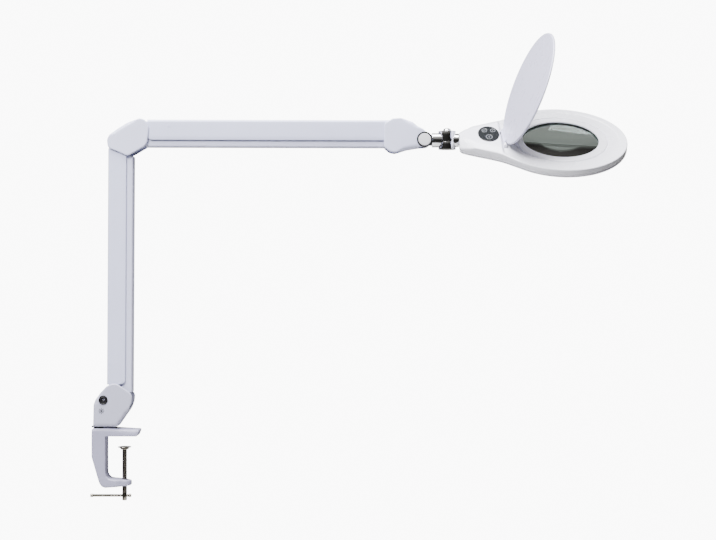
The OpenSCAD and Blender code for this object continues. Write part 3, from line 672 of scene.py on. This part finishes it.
PITCH = 1.25
screw_low = jaw_low - 23.7
tommy_z = jaw_low - 16.2
threaded("clamp_screw", 3.8, 0.14, PITCH, tommy_z + 6, pad_top - 4.3, "dark_steel", "spindle",
         upright, ["clamp_spindle"])
lathe("screw_nose", [(3.05, -22.0), (3.05, -19.6), (2.8, -19.35), (0, -19.35)], "dark_steel",
      "spindle", upright)
lathe("screw_eye", [(0, screw_low), (2.9, screw_low), (3.7, screw_low + 0.9),
                    (3.8, tommy_z + 5.6), (3.35, tommy_z + 6.4), (0, tommy_z + 6.4)],
      "dark_steel", "spindle", upright)
bar_lo, bar_hi = node_box("tommy_bar")
along_x = at_point(0, 0, tommy_z) @ Matrix.Rotation(math.pi / 2, 4, "Y")
x0, x1 = bar_lo[0], bar_hi[0]
lathe("tommy_rod", [(0, x0), (1.6, x0)] + arc(1.9, x0 + 0.8, 0.8, -90, 0, 5)
      + [(2.7, x0 + 3.8)] + arc(2.3, x0 + 4.1, 0.4, 0, 90, 3)
      + [(2.15, x0 + 4.8), (2.15, x1 - 4.9)] + arc(2.3, x1 - 4.1, 0.4, -90, 0, 3)
      + [(2.7, x1 - 0.9)] + arc(1.9, x1 - 0.8, 0.8, 0, 90, 5) + [(0, x1)],
      "dark_steel", "tommy", along_x, replaces=["tommy_bar"])

# ------------------------------------------------------------------ inlet and bush

inlet = facing(inlet_at[0], -HOUSING_HALF, inlet_at[1], (0, -1, 0))
lathe("inlet_ring", [(2.75, -9.0), (2.75, 0.7), (3.1, 1.05), (4.7, 1.05), (4.9, 0.75),
                     (5.4, 0.75), (5.6, 1.15)] + arc(6.3, 0.6, 0.7, 110, 0, 5)
      + [(7.0, 0.02), (5.15, 0.0), (5.1, -11.0)], "black_plastic", "base", inlet,
      replaces=["dc_inlet"])
lathe("inlet_contact", [(0, -9.0), (1.05, -9.0), (1.05, 0.1)] + arc(0.6, 0.1, 0.45, 0, 90, 4)
      + [(0, 0.55)], "pin_steel", "base", inlet, segments=32, replaces=["dc_inlet_pin"])
soften("swivel_bush", 0.4)

# ------------------------------------------------------------------ arm channels


def arm_frame(p, angle):
    """z runs along the arm, -x is the outer channel's web side."""
    return at_point(p[0], 0, p[1]) @ Matrix.Rotation(angle, 4, "Y")


def arm_between(near, far):
    """An arm's length, and its turn from upright."""
    run = far - near
    return float(np.linalg.norm(run)), math.atan2(run[0], run[1])


ARM_SHEET, WEB_START = 1.2, 12.0


def shell_channel(name, look, length, place, web, edge, half, bend, eye, full, cut):
    """A folded channel: a web, and two flanges with round eyes at the pivots.

    The flanges reach from the web out to edge. They are eye wide as far as cut from each
    pivot, and as wide as they get from full on."""
    sign = 1.0 if web > 0 else -1.0
    line = web - sign * bend
    near = eye * 0.96
    span = np.concatenate([np.linspace(0, full, 38), np.linspace(full, length - full, 60)[1:-1],
                           np.linspace(length - full, length, 38)])
    verts, faces = [], []

    def limits(z):
        """Both edges of the flange at a height."""
        d = min(z, length - z)
        t = min(1.0, max(0.0, (d - cut) / (full - cut)))
        far_side = near + (abs(edge) - near) * math.sqrt(1 - (1 - t) ** 2)
        web_side = near + (abs(web) - bend - near) * min(1.0, d / WEB_START)
        return -sign * far_side, sign * web_side

    cap = [(eye * math.cos(math.radians(a)), eye * math.sin(math.radians(a)))
           for a in range(-90, 0, 10)]
    rows = [(-sign * w, sign * w, z) for w, z in cap]
    rows += [(*limits(z), z) for z in span]
    rows += [(-sign * w, sign * w, length - z) for w, z in reversed(cap)]
    across = 5
    for side in (-1, 1):
        first = len(verts)
        for lo, hi, z in rows:
            verts += [(lo + (hi - lo) * t, side * half, z) for t in np.linspace(0, 1, across)]
        for i in range(len(rows) - 1):
            for j in range(across - 1):
                a = first + i * across + j
                faces.append((a, a + 1, a + across + 1, a + across))
    section = [(line, -half)]
    section += [(line + sign * bend * math.sin(math.radians(a)),
                 -half + bend - bend * math.cos(math.radians(a))) for a in range(15, 91, 15)]
    section += [(x, -y) for x, y in reversed(section)]
    stations = [z for z in span if WEB_START - 0.01 <= z <= length - WEB_START + 0.01]
    first, m = len(verts), len(section)
    verts += [(x, y, z) for z in stations for x, y in section]
    for i in range(len(stations) - 1):
        for j in range(m - 1):
            a = first + i * m + j
            faces.append((a, a + 1, a + m + 1, a + m))
    obj = piece(f"{name}_sheet", verts, faces, look, name, [f"{name}_channel"], place=place)
    thicken(obj, ARM_SHEET)
    weighted(obj)


arms = {"lower": (lower_pin, lower_inner_pin, *arm_between(lower_pin, elbow_pin)),
        "upper": (upper_pin, upper_inner_pin, *arm_between(upper_pin, end_pin))}
for arm, (pin, inner_pin, length, turn) in arms.items():
    web, bend = (-10.2, 3.2) if arm == "lower" else (-13.2, 4.2)
    shell_channel(f"{arm}_outer", "arm_paint", length, arm_frame(pin, turn), web, edge=18.0,
                  half=14.5, bend=bend, eye=9.0, full=18.5, cut=12.0)
    shell_channel(f"{arm}_inner", "inner_paint", length, arm_frame(inner_pin, turn), 11.0,
                  edge=-5.0, half=12.0, bend=2.4, eye=6.5, full=15.0, cut=0.0)

# ------------------------------------------------------------------ head joint

for name, width in (("neck", 0.9), ("stem", 0.9), ("tilt_nut", 0.5), ("stem_socket", 0.5),
                    ("stem_collar", 0.4), ("knuckle_bolt", 0.3)):
    soften(name, width)
knob = facing(tilt_pin[0], -17.5, tilt_pin[1], (0, -1, 0))
lathe("tilt_knob_rim", [(9.75, 0.2), (11.7, 0.0), (12.0, 0.4), (12.0, 2.2)]
      + arc(11.0, 2.4, 1.0, 0, 90, 6) + [(10.2, 3.35), (9.8, 2.9), (9.75, 0.2)],
      "black_plastic", "end_block", knob, replaces=["tilt_bolt"])
# the cap's face is a light grey coat, not chrome: a painted reflection of the bright surroundings
cap = lathe("tilt_knob_face", [(0, 3.3), (5.0, 3.24), (8.6, 3.02)] + arc(8.9, 2.3, 0.7, 80, 0, 5)
      + [(9.6, 0.15), (4.0, 0.1), (4.0, -41.0), (3.2, -41.8), (0, -41.8)],
      "cap_painted_reflection", "end_block", knob, replaces=["tilt_bolt"])
nut_lo, nut_hi = node_box("dome_nut")
nut = at_point((nut_lo[0] + nut_hi[0]) / 2, 0, nut_lo[2])
lathe("dome_nut_cap", [(3.1, 0.0), (6.4, 0.0), (6.9, 0.4), (6.9, 1.0), (6.5, 1.3)]
      + [(6.0 * math.cos(math.radians(a)), 1.5 + 3.6 * math.sin(math.radians(a)))
         for a in range(0, 91, 9)], "chrome", "stem", nut, replaces=["dome_nut"])

# ------------------------------------------------------------------ head

# a frame in the ring's plane: u runs out along the handle, v across it, w up out of the ring
v_axis = Vector(joints["lid_hinge"]["axis"]).normalized()
if v_axis.y < 0:
    v_axis = -v_axis
u_axis = Vector((1, 0, 0))
w_axis = u_axis.cross(v_axis).normalized()
lens_lo, lens_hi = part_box("lens")
head_at = (lens_lo + lens_hi) / 2 + w_axis * (6.0 * MM)
head_place = Matrix(((u_axis.x, v_axis.x, w_axis.x, head_at.x),
                     (u_axis.y, v_axis.y, w_axis.y, head_at.y),
                     (u_axis.z, v_axis.z, w_axis.z, head_at.z), (0, 0, 0, 1)))
RING_R, OPEN_R, PARTING, HEAD_SHEET = 102.5, 58.5, -7.0, 1.7
RIM_IN, RIM_OUT = 89.6, 92.2
GROOVE_R, GROOVE_DEEP, GROOVE_WIDE = 73.0, 2.2, 1.05
NECK_U = -70.0
# the handle's side from its end to the ring, as (u, half width, corner radius)
handle = [(-157.6, 22, 2), (-154.6, 26.6, 5), (-146, 31.7, 20), (-133.5, 37.4, 60),
          (-109.5, 48.2, 90), (-95, 55.5, 90), (-82, 65.5, 60)]
join = math.degrees(math.acos(NECK_U / RING_R))
plan_edge = rounded([(u, v, 0) for u, v in arc(0, 0, RING_R, -join, join, 300)]
                    + handle[::-1] + [(u, -v, r) for u, v, r in handle], 4)


def smooth(a, b, x):
    """An even step from 0 at a to 1 at b."""
    t = np.clip((x - a) / (b - a), 0, 1)
    return t * t * (3 - 2 * t)


def half_width(u):
    """The handle's half width along it."""
    xs, ys, _ = zip(*handle, (NECK_U, 74.87, 0))
    return np.interp(u, xs, ys)


def top_height(u, v, gap):
    """The top cover's height over the ring's top plane."""
    edge = 3.6 * smooth(-56, -104, u) - 3.6 * smooth(-133, -146, u) - 2.8 * smooth(-144, -158, u)
    crown = 8.35 - 3.4 * smooth(-143, -158, u) ** 1.5
    side = np.clip((half_width(u) - np.abs(v)) / 20.0, 0, 1)
    grip = edge + (crown - edge) * np.sin(side * math.pi / 2) ** 1.15
    r = np.hypot(u, v)
    rim = 1.2 * smooth(RIM_IN, RIM_OUT, r) * smooth(-80, -66, u)
    groove = GROOVE_DEEP * np.exp(-((r - GROOVE_R) / GROOVE_WIDE) ** 2)
    outer = edge * (1 - smooth(1.0, 15.0, gap))
    ring = np.maximum(rim, outer) - groove
    blend_in = smooth(-90.4, -95.4, u)
    return ring * (1 - blend_in) + grip * blend_in


def quarter_round(gap, radius):
    """How far a face falls at a gap from its edge, rounded to a radius."""
    t = np.clip(1 - gap / radius, 0, 1)
    return radius * (1 - np.sqrt(np.maximum(0, 1 - t * t)))


def cover(name, look, side, height, opening, edge_r, inner_r, wall_to, inner_to, radii, holes=()):
    """A moulded cover over the head's plan: a sculpted face, its outer wall and its opening.

    side is 1 for a face that looks up; radii are those where the mesh needs a ring of points."""
    ring = resample(plan_edge, 1.6)
    loose = [np.array(circle_at((0, 0), r, 200)) for r in radii]
    normal = inward(ring)
    for degrees in (30, 45, 60, 75, 90):
        row = ring + normal * edge_r * (1 - math.cos(math.radians(degrees)))
        loose.append(row[inside(row, ring)])
    for deep in (edge_r + 2, edge_r + 5):
        row = ring + normal * deep
        gap, _ = away(row, ring)
        loose.append(row[gap > deep * 0.97])
    mid = spots_inside(ring, 3.0)
    gap, _ = away(mid, ring)
    r = np.hypot(mid[:, 0], mid[:, 1])
    near_ring = np.min(np.abs(r[:, None] - np.array(radii)[None, :]), axis=1) < 1.3
    on_handle = mid[:, 0] < -86
    loose.append(mid[(gap > edge_r + 1) & (r > opening + 1.5) & (~near_ring | on_handle)])
    # finer points where the ring's face steps up into the handle
    fine = spots_inside(ring, 1.2)
    fine = fine[(fine[:, 0] > -97) & (fine[:, 0] < -89)]
    gap, _ = away(fine, ring)
    loose.append(fine[gap > edge_r + 1])
    loose = np.vstack(loose)
    r = np.hypot(loose[:, 0], loose[:, 1])
    gap, _ = away(loose, ring)
    keep = (r > opening + 0.05) & (gap > 0.15)
    for p, hole_r in holes:
        keep &= np.hypot(loose[:, 0] - p[0], loose[:, 1] - p[1]) > hole_r + 0.5
    loops = [ring, circle_at((0, 0), opening, 200)] + [circle_at(p, q, 36) for p, q in holes]
    plan, faces = meshed(loops, loose[keep])
    gap, _ = away(plan, ring)
    r = np.hypot(plan[:, 0], plan[:, 1])
    drop = np.maximum(quarter_round(gap, edge_r), quarter_round(r - opening, inner_r))
    w = height(plan[:, 0], plan[:, 1], gap) - side * drop
    verts = [(u, v, z) for (u, v), z in zip(plan, w)]
    for loop, stop in ((ring, wall_to), (loops[1], inner_to)):
        order = rim_order(plan, loop)
        faces += wall_from(order, len(verts))
        verts += [(plan[k][0], plan[k][1], stop) for k in order]
    word = "top" if side > 0 else "bottom"
    obj = piece(name, verts, faces, look, "head", [f"head_{word}_cover"], head_place)
    thicken(obj, HEAD_SHEET)
    weighted(obj)


groove_radii = [GROOVE_R + d for d in (-1.4, -0.9, -0.5, -0.2, 0.2, 0.5, 0.9, 1.4)]
rim_radii = [RIM_IN - 1, RIM_IN, RIM_IN + 0.6, RIM_IN + 1.3, RIM_IN + 2, RIM_OUT, RIM_OUT + 1.2]
cover("head_cover_top", "head_plastic", 1, top_height, opening=OPEN_R, edge_r=2.0, inner_r=1.2,
      wall_to=PARTING + SEAM, inner_to=-1.95,
      radii=[59.2, 59.9, 62, 66, 70] + groove_radii + [77, 83] + rim_radii + [97])


def bottom_height(u, _v, gap):
    """The bottom cover's height, which is deeper under the handle."""
    deep = smooth(-80, -96, u) * smooth(4, 15, gap)
    return -13.45 - 4.0 * deep


screw_spots = [((u, s * v), 3.0) for u, v in ((-142.8, 17), (-75, 54), (88.5, 22))
               for s in (-1, 1)]
# the lower cover in the greyer copy of the head plastic: painted shade on the underside of the head
cover("head_cover_bottom", "under_plastic_painted_shade", -1, bottom_height, opening=85.6, edge_r=4.6,
      inner_r=0.8, wall_to=PARTING - SEAM, inner_to=-11.6, radii=[86.1, 86.6, 88, 92],
      holes=screw_spots)

# ------------------------------------------------------------------ lens cover

HINGE_U, HINGE_W, LID_R, LID_TOP, LID_SHEET = -88.0, 3.6, 88.5, 5.4, 1.5
HINGE_HALF = 21.5
# drawn shut, and then turned open about its hinge by what it can still turn shut
lid_open = math.radians(joints["lid_hinge"]["range_deg"][1])
hinge_line = at_point(HINGE_U, 0, HINGE_W)
lid_place = head_place @ hinge_line @ Matrix.Rotation(-lid_open, 4, "Y") @ hinge_line.inverted()


def lens_cover():
    """A shallow domed disc with one straight side at the hinge."""
    chord = math.degrees(math.acos(-83.8 / LID_R))
    plan, faces, drop, ring = pillow(arc(0, 0, LID_R, -chord, chord, 120), lambda p: 1.9, 1.5)
    w = LID_TOP - 0.9 * (np.hypot(plan[:, 0], plan[:, 1]) / LID_R) ** 2 - drop
    verts = [(u, v, z) for (u, v), z in zip(plan, w)]
    order = rim_order(plan, ring)
    faces += wall_from(order, len(verts))
    verts += [(plan[k][0], plan[k][1], 1.55) for k in order]
    obj = piece("lens_cover", verts, faces, "lid_plastic", "lid", ["lid"], lid_place)
    thicken(obj, LID_SHEET)
    weighted(obj)


def hinge_tab():
    """The strip that joins the disc to its hinge barrel."""
    line = rounded([(HINGE_U + x, HINGE_W + z, 0.5)
                    for x, z in ((1.2, 1.9), (7.5, 1.2), (7.5, -0.6), (1.9, -0.4))], 30)
    n = len(line)
    verts = [(x, y, z) for y in (-HINGE_HALF, HINGE_HALF) for x, z in line]
    faces = [(i, (i + 1) % n, n + (i + 1) % n, n + i) for i in range(n)]
    faces += [tuple(range(n)), tuple(range(2 * n - 1, n - 1, -1))]
    piece("lens_cover_tab", verts, faces, "lid_plastic", "lid", (), lid_place, smooth=False)


lens_cover()
barrel = [(1.25, -HINGE_HALF - 0.4), (2.0, -HINGE_HALF - 0.4), (2.4, -HINGE_HALF),
          (2.4, HINGE_HALF), (2.0, HINGE_HALF + 0.4), (1.25, HINGE_HALF + 0.4),
          (1.25, -HINGE_HALF - 0.4)]
lathe("lens_cover_hinge", barrel, "lid_plastic", "lid",
      lid_place @ hinge_line @ Matrix.Rotation(-math.pi / 2, 4, "X"), segments=40)
hinge_tab()
soften("lid_brackets", 0.5)

# ------------------------------------------------------------------ touch panel and keys

PANEL = (-112.0, 0.0)
PANEL_TOP, KEY_TOP, PRINT_W = 9.3, 9.68, 9.67
# each key's middle (u, v) and its half sizes along u and v
keys = {"key_power": (-117.8, 10.0, 4.7, 6.6), "key_dimmer": (-104.9, 10.0, 4.7, 6.0),
        "key_brighter": (-112.0, -11.5, 5.6, 8.0)}


def ellipse(p, a, b, n):
    """Points round an ellipse."""
    return np.array([(p[0] + a * math.cos(2 * math.pi * i / n),
                      p[1] + b * math.sin(2 * math.pi * i / n)) for i in range(n)])


def raised(name, line, top, low, edge_r, look, body, replaces, holes=()):
    """A low moulded pad with a rounded rim, standing on the head."""
    ring = resample(line, 0.7)
    normal = inward(ring)
    loose = [ring + normal * edge_r * (1 - math.cos(math.radians(a))) for a in (25, 50, 90)]
    mid = spots_inside(ring, 1.6)
    gap, _ = away(mid, ring)
    loose.append(mid[gap > edge_r + 0.4])
    loose = np.vstack(loose)
    for hole in holes:
        gap, _ = away(loose, hole)
        loose = loose[~inside(loose, hole) & (gap > 0.25)]
    plan, faces = meshed([ring] + list(holes), loose)
    gap, _ = away(plan, ring)
    w = top - quarter_round(gap, edge_r)
    verts = [(u, v, z) for (u, v), z in zip(plan, w)]
    for loop in [ring] + list(holes):
        order = rim_order(plan, loop)
        faces += wall_from(order, len(verts))
        verts += [(plan[k][0], plan[k][1], low) for k in order]
    piece(name, verts, faces, look, body, replaces, head_place)


key_holes = [ellipse((u, v), a + 0.18, b + 0.18, 48) for u, v, a, b in keys.values()]
raised("touch_panel_glass", ellipse(PANEL, 16.6, 25.4, 120), PANEL_TOP, PANEL_TOP - 1.1, 0.5,
       "panel_gloss", "head", ["touch_panel"], key_holes)
for key, (u, v, a, b) in keys.items():
    raised(f"{key}_pad", ellipse((u, v), a, b, 60), KEY_TOP, KEY_TOP - 1.38, 0.3, "key_gloss", key,
           [key])


def stroke(name, key, line, width, closed=False, lift=0.0):
    """A thin printed line on a key, drawn about the key's middle."""
    pts = np.array(line) + keys[key][:2]
    n = len(pts)
    w = PRINT_W + lift
    verts, faces = [], []
    for i, p in enumerate(pts):
        a = pts[(i - 1) % n] if closed or i > 0 else p
        b = pts[(i + 1) % n] if closed or i < n - 1 else p
        t = (b - a) / np.linalg.norm(b - a)
        side = np.array([-t[1], t[0]]) * width / 2
        verts += [(*(p + side), w), (*(p + side * 0.6), w + 0.06), (*(p - side * 0.6), w + 0.06),
                  (*(p - side), w)]
    for i in range(n if closed else n - 1):
        j = (i + 1) % n
        for k in range(4):
            m = (k + 1) % 4
            faces.append((i * 4 + k, i * 4 + m, j * 4 + m, j * 4 + k))
    if not closed:
        faces += [(0, 1, 2, 3), tuple(4 * (n - 1) + k for k in (3, 2, 1, 0))]
    obj = piece(name, verts, faces, "icon_grey", key, (), head_place)


for key, (_, _, a, b) in keys.items():
    stroke(f"{key}_ring", key, ellipse((0, 0), a - 1.0, b - 1.3, 48), 0.9, closed=True)
stroke("power_arc", "key_power", [(1.5 * math.cos(t), 1.9 * math.sin(t))
                                  for t in np.linspace(0.6, 2 * math.pi - 0.6, 24)], 0.5)
stroke("power_bar", "key_power", [(0.6, 0), (2.3, 0)], 0.5)
stroke("dimmer_bar", "key_dimmer", [(0, -1.9), (0, 1.9)], 0.6)
stroke("brighter_bar", "key_brighter", [(0, -2.6), (0, 2.6)], 0.6)
stroke("brighter_stem", "key_brighter", [(-1.9, 0), (1.9, 0)], 0.6, lift=0.03)

# ------------------------------------------------------------------ springs

SPRING_X, SPRING_END, PIN_AT = -3.8, 53.0, 49.0


def coil(name, r, wire, pitch, z0, z1, body, place, replaces):
    """A close-wound spring along the local Z axis."""
    turns = (z1 - z0) / pitch
    steps, sides = int(turns * 16), 6
    up = np.array([0, 0, 1.0])
    verts, faces = [], []
    for i in range(steps + 1):
        a = 2 * math.pi * turns * i / steps
        out = np.array([math.cos(a), math.sin(a), 0])
        middle = out * r + up * (z0 + (z1 - z0) * i / steps)
        for k in range(sides):
            b = 2 * math.pi * k / sides
            verts.append(middle + wire * (out * math.cos(b) + up * math.sin(b)))
    for i in range(steps):
        for k in range(sides):
            m = (k + 1) % sides
            faces.append((i * sides + k, i * sides + m, (i + 1) * sides + m, (i + 1) * sides + k))
    faces += [tuple(range(sides)), tuple(steps * sides + k for k in reversed(range(sides)))]
    piece(name, verts, faces, "spring_steel", body, replaces, place)


for arm, (pin, _, length, turn) in arms.items():
    along = arm_frame(pin, turn)
    coil(f"{arm}_coil", 3.85, 0.62, 1.6, SPRING_END, length - SPRING_END, f"{arm}_outer",
         along @ at_point(SPRING_X, 0, 0), [f"{arm}_spring"])
    for end, z in (("low", PIN_AT), ("high", length - PIN_AT)):
        lathe(f"{arm}_hook_{end}", [(0, -4.6), (1.0, -4.6), (1.3, -3.6), (1.3, 3.6), (1.0, 4.6),
                                    (0, 4.6)], "spring_steel", f"{arm}_outer",
              along @ at_point(SPRING_X, 0, z), segments=24)

# ------------------------------------------------------------------ world and lights

world = bpy.data.worlds.new("studio")
scene.world = world
world.use_nodes = True
tree = world.node_tree
room = tree.nodes["Background"]
coord = tree.nodes.new("ShaderNodeTexCoord")
way = tree.nodes.new("ShaderNodeSeparateXYZ")
tree.links.new(coord.outputs["Generated"], way.inputs["Vector"])


def tone_ramp(source, stops):
    """A slightly warm grey through (position, brightness) stops."""
    n = tree.nodes.new("ShaderNodeValToRGB")
    while len(n.color_ramp.elements) < len(stops):
        n.color_ramp.elements.new(0.5)
    for stop, (place, value) in zip(n.color_ramp.elements, stops):
        stop.position = place
        stop.color = (value, value * 0.98, value * 0.92, 1)
    tree.links.new(source, n.inputs["Fac"])
    return n.outputs["Color"]


def spread_over(source, low, high, to_low, to_high):
    """A direction's part of the way from low to high, as a value."""
    n = tree.nodes.new("ShaderNodeMapRange")
    for key, value in (("From Min", low), ("From Max", high), ("To Min", to_low),
                       ("To Max", to_high)):
        n.inputs[key].default_value = value
    tree.links.new(source, n.inputs["Value"])
    return n.outputs["Result"]


def studio_room():
    """A room that is dark at the horizon, brighter above and to the left.

    Behind the lamp it is dim, with the pale and dark strips that show in the lens."""
    bands = tone_ramp(spread_over(way.outputs["Z"], -1, 1, 0, 1),
                      ((0.0, 0.08), (0.34, 0.08), (0.42, 0.04), (0.60, 0.04), (0.70, 0.5),
                       (1.0, 1.2)))
    behind = tone_ramp(way.outputs["Z"],
                       ((0.0, 0.30), (0.20, 0.30), (0.222, 0.50), (0.238, 0.01), (0.250, 0.01),
                        (0.262, 0.20), (0.300, 0.20), (0.320, 0.01), (0.50, 0.35), (1.0, 0.18)))
    sided = tree.nodes.new("ShaderNodeVectorMath")
    sided.operation = "SCALE"
    tree.links.new(bands, sided.inputs[0])
    tree.links.new(spread_over(way.outputs["X"], -1, 1, 1.1, 0.30), sided.inputs["Scale"])
    around = tree.nodes.new("ShaderNodeMix")
    around.data_type = "RGBA"
    tree.links.new(spread_over(way.outputs["Y"], 0.25, 0.40, 0, 1), around.inputs["Factor"])
    tree.links.new(sided.outputs["Vector"], around.inputs["A"])
    tree.links.new(behind, around.inputs["B"])
    room.inputs["Strength"].default_value = 1.0
    tree.links.new(around.outputs["Result"], room.inputs["Color"])


def pale_backdrop(strength):
    """What the camera sees behind the lamp, in place of the room."""
    backdrop = tree.nodes.new("ShaderNodeBackground")
    backdrop.inputs["Color"].default_value = (1, 1, 1, 1)
    backdrop.inputs["Strength"].default_value = strength
    light_path = tree.nodes.new("ShaderNodeLightPath")
    which = tree.nodes.new("ShaderNodeMixShader")
    tree.links.new(light_path.outputs["Is Camera Ray"], which.inputs[0])
    tree.links.new(room.outputs["Background"], which.inputs[1])
    tree.links.new(backdrop.outputs["Background"], which.inputs[2])
    tree.links.new(which.outputs["Shader"], tree.nodes["World Output"].inputs["Surface"])


def area(name, at, look_at, size, power):
    """A soft rectangular light of some watts."""
    data = bpy.data.lights.new(name, "AREA")
    data.shape = "RECTANGLE"
    data.size, data.size_y = size
    data.energy = power
    obj = bpy.data.objects.new(name, data)
    obj.location = at
    obj.rotation_euler = (Vector(look_at) - Vector(at)).to_track_quat("-Z", "Y").to_euler()
    scene.collection.objects.link(obj)


def paper_floor(x, y, z, sides=96):
    """A round sheet of pale paper, a metre in radius."""
    mesh = bpy.data.meshes.new("floor")
    angles = [2 * math.pi * i / sides for i in range(sides)]
    mesh.from_pydata([(x + math.cos(a), y + math.sin(a), z) for a in angles], [],
                     [tuple(range(sides))])
    floor = bpy.data.objects.new("floor", mesh)
    scene.collection.objects.link(floor)
    mesh.materials.append(coated("floor_paper", (0.85, 0.85, 0.85), 0.8, 40.0, 0.02, 0.0002,
                                 0.01).mat)


studio_room()
pale_backdrop(10.0)
middle = (0.36, 0, 0.25)
area("top_softbox", (0.25, -0.35, 2.3), middle, (1.8, 1.0), 150)
area("key_softbox", (-0.9, -1.9, 2.4), middle, (1.0, 1.0), 215)
paper_floor(0.36, -0.2, -0.75)
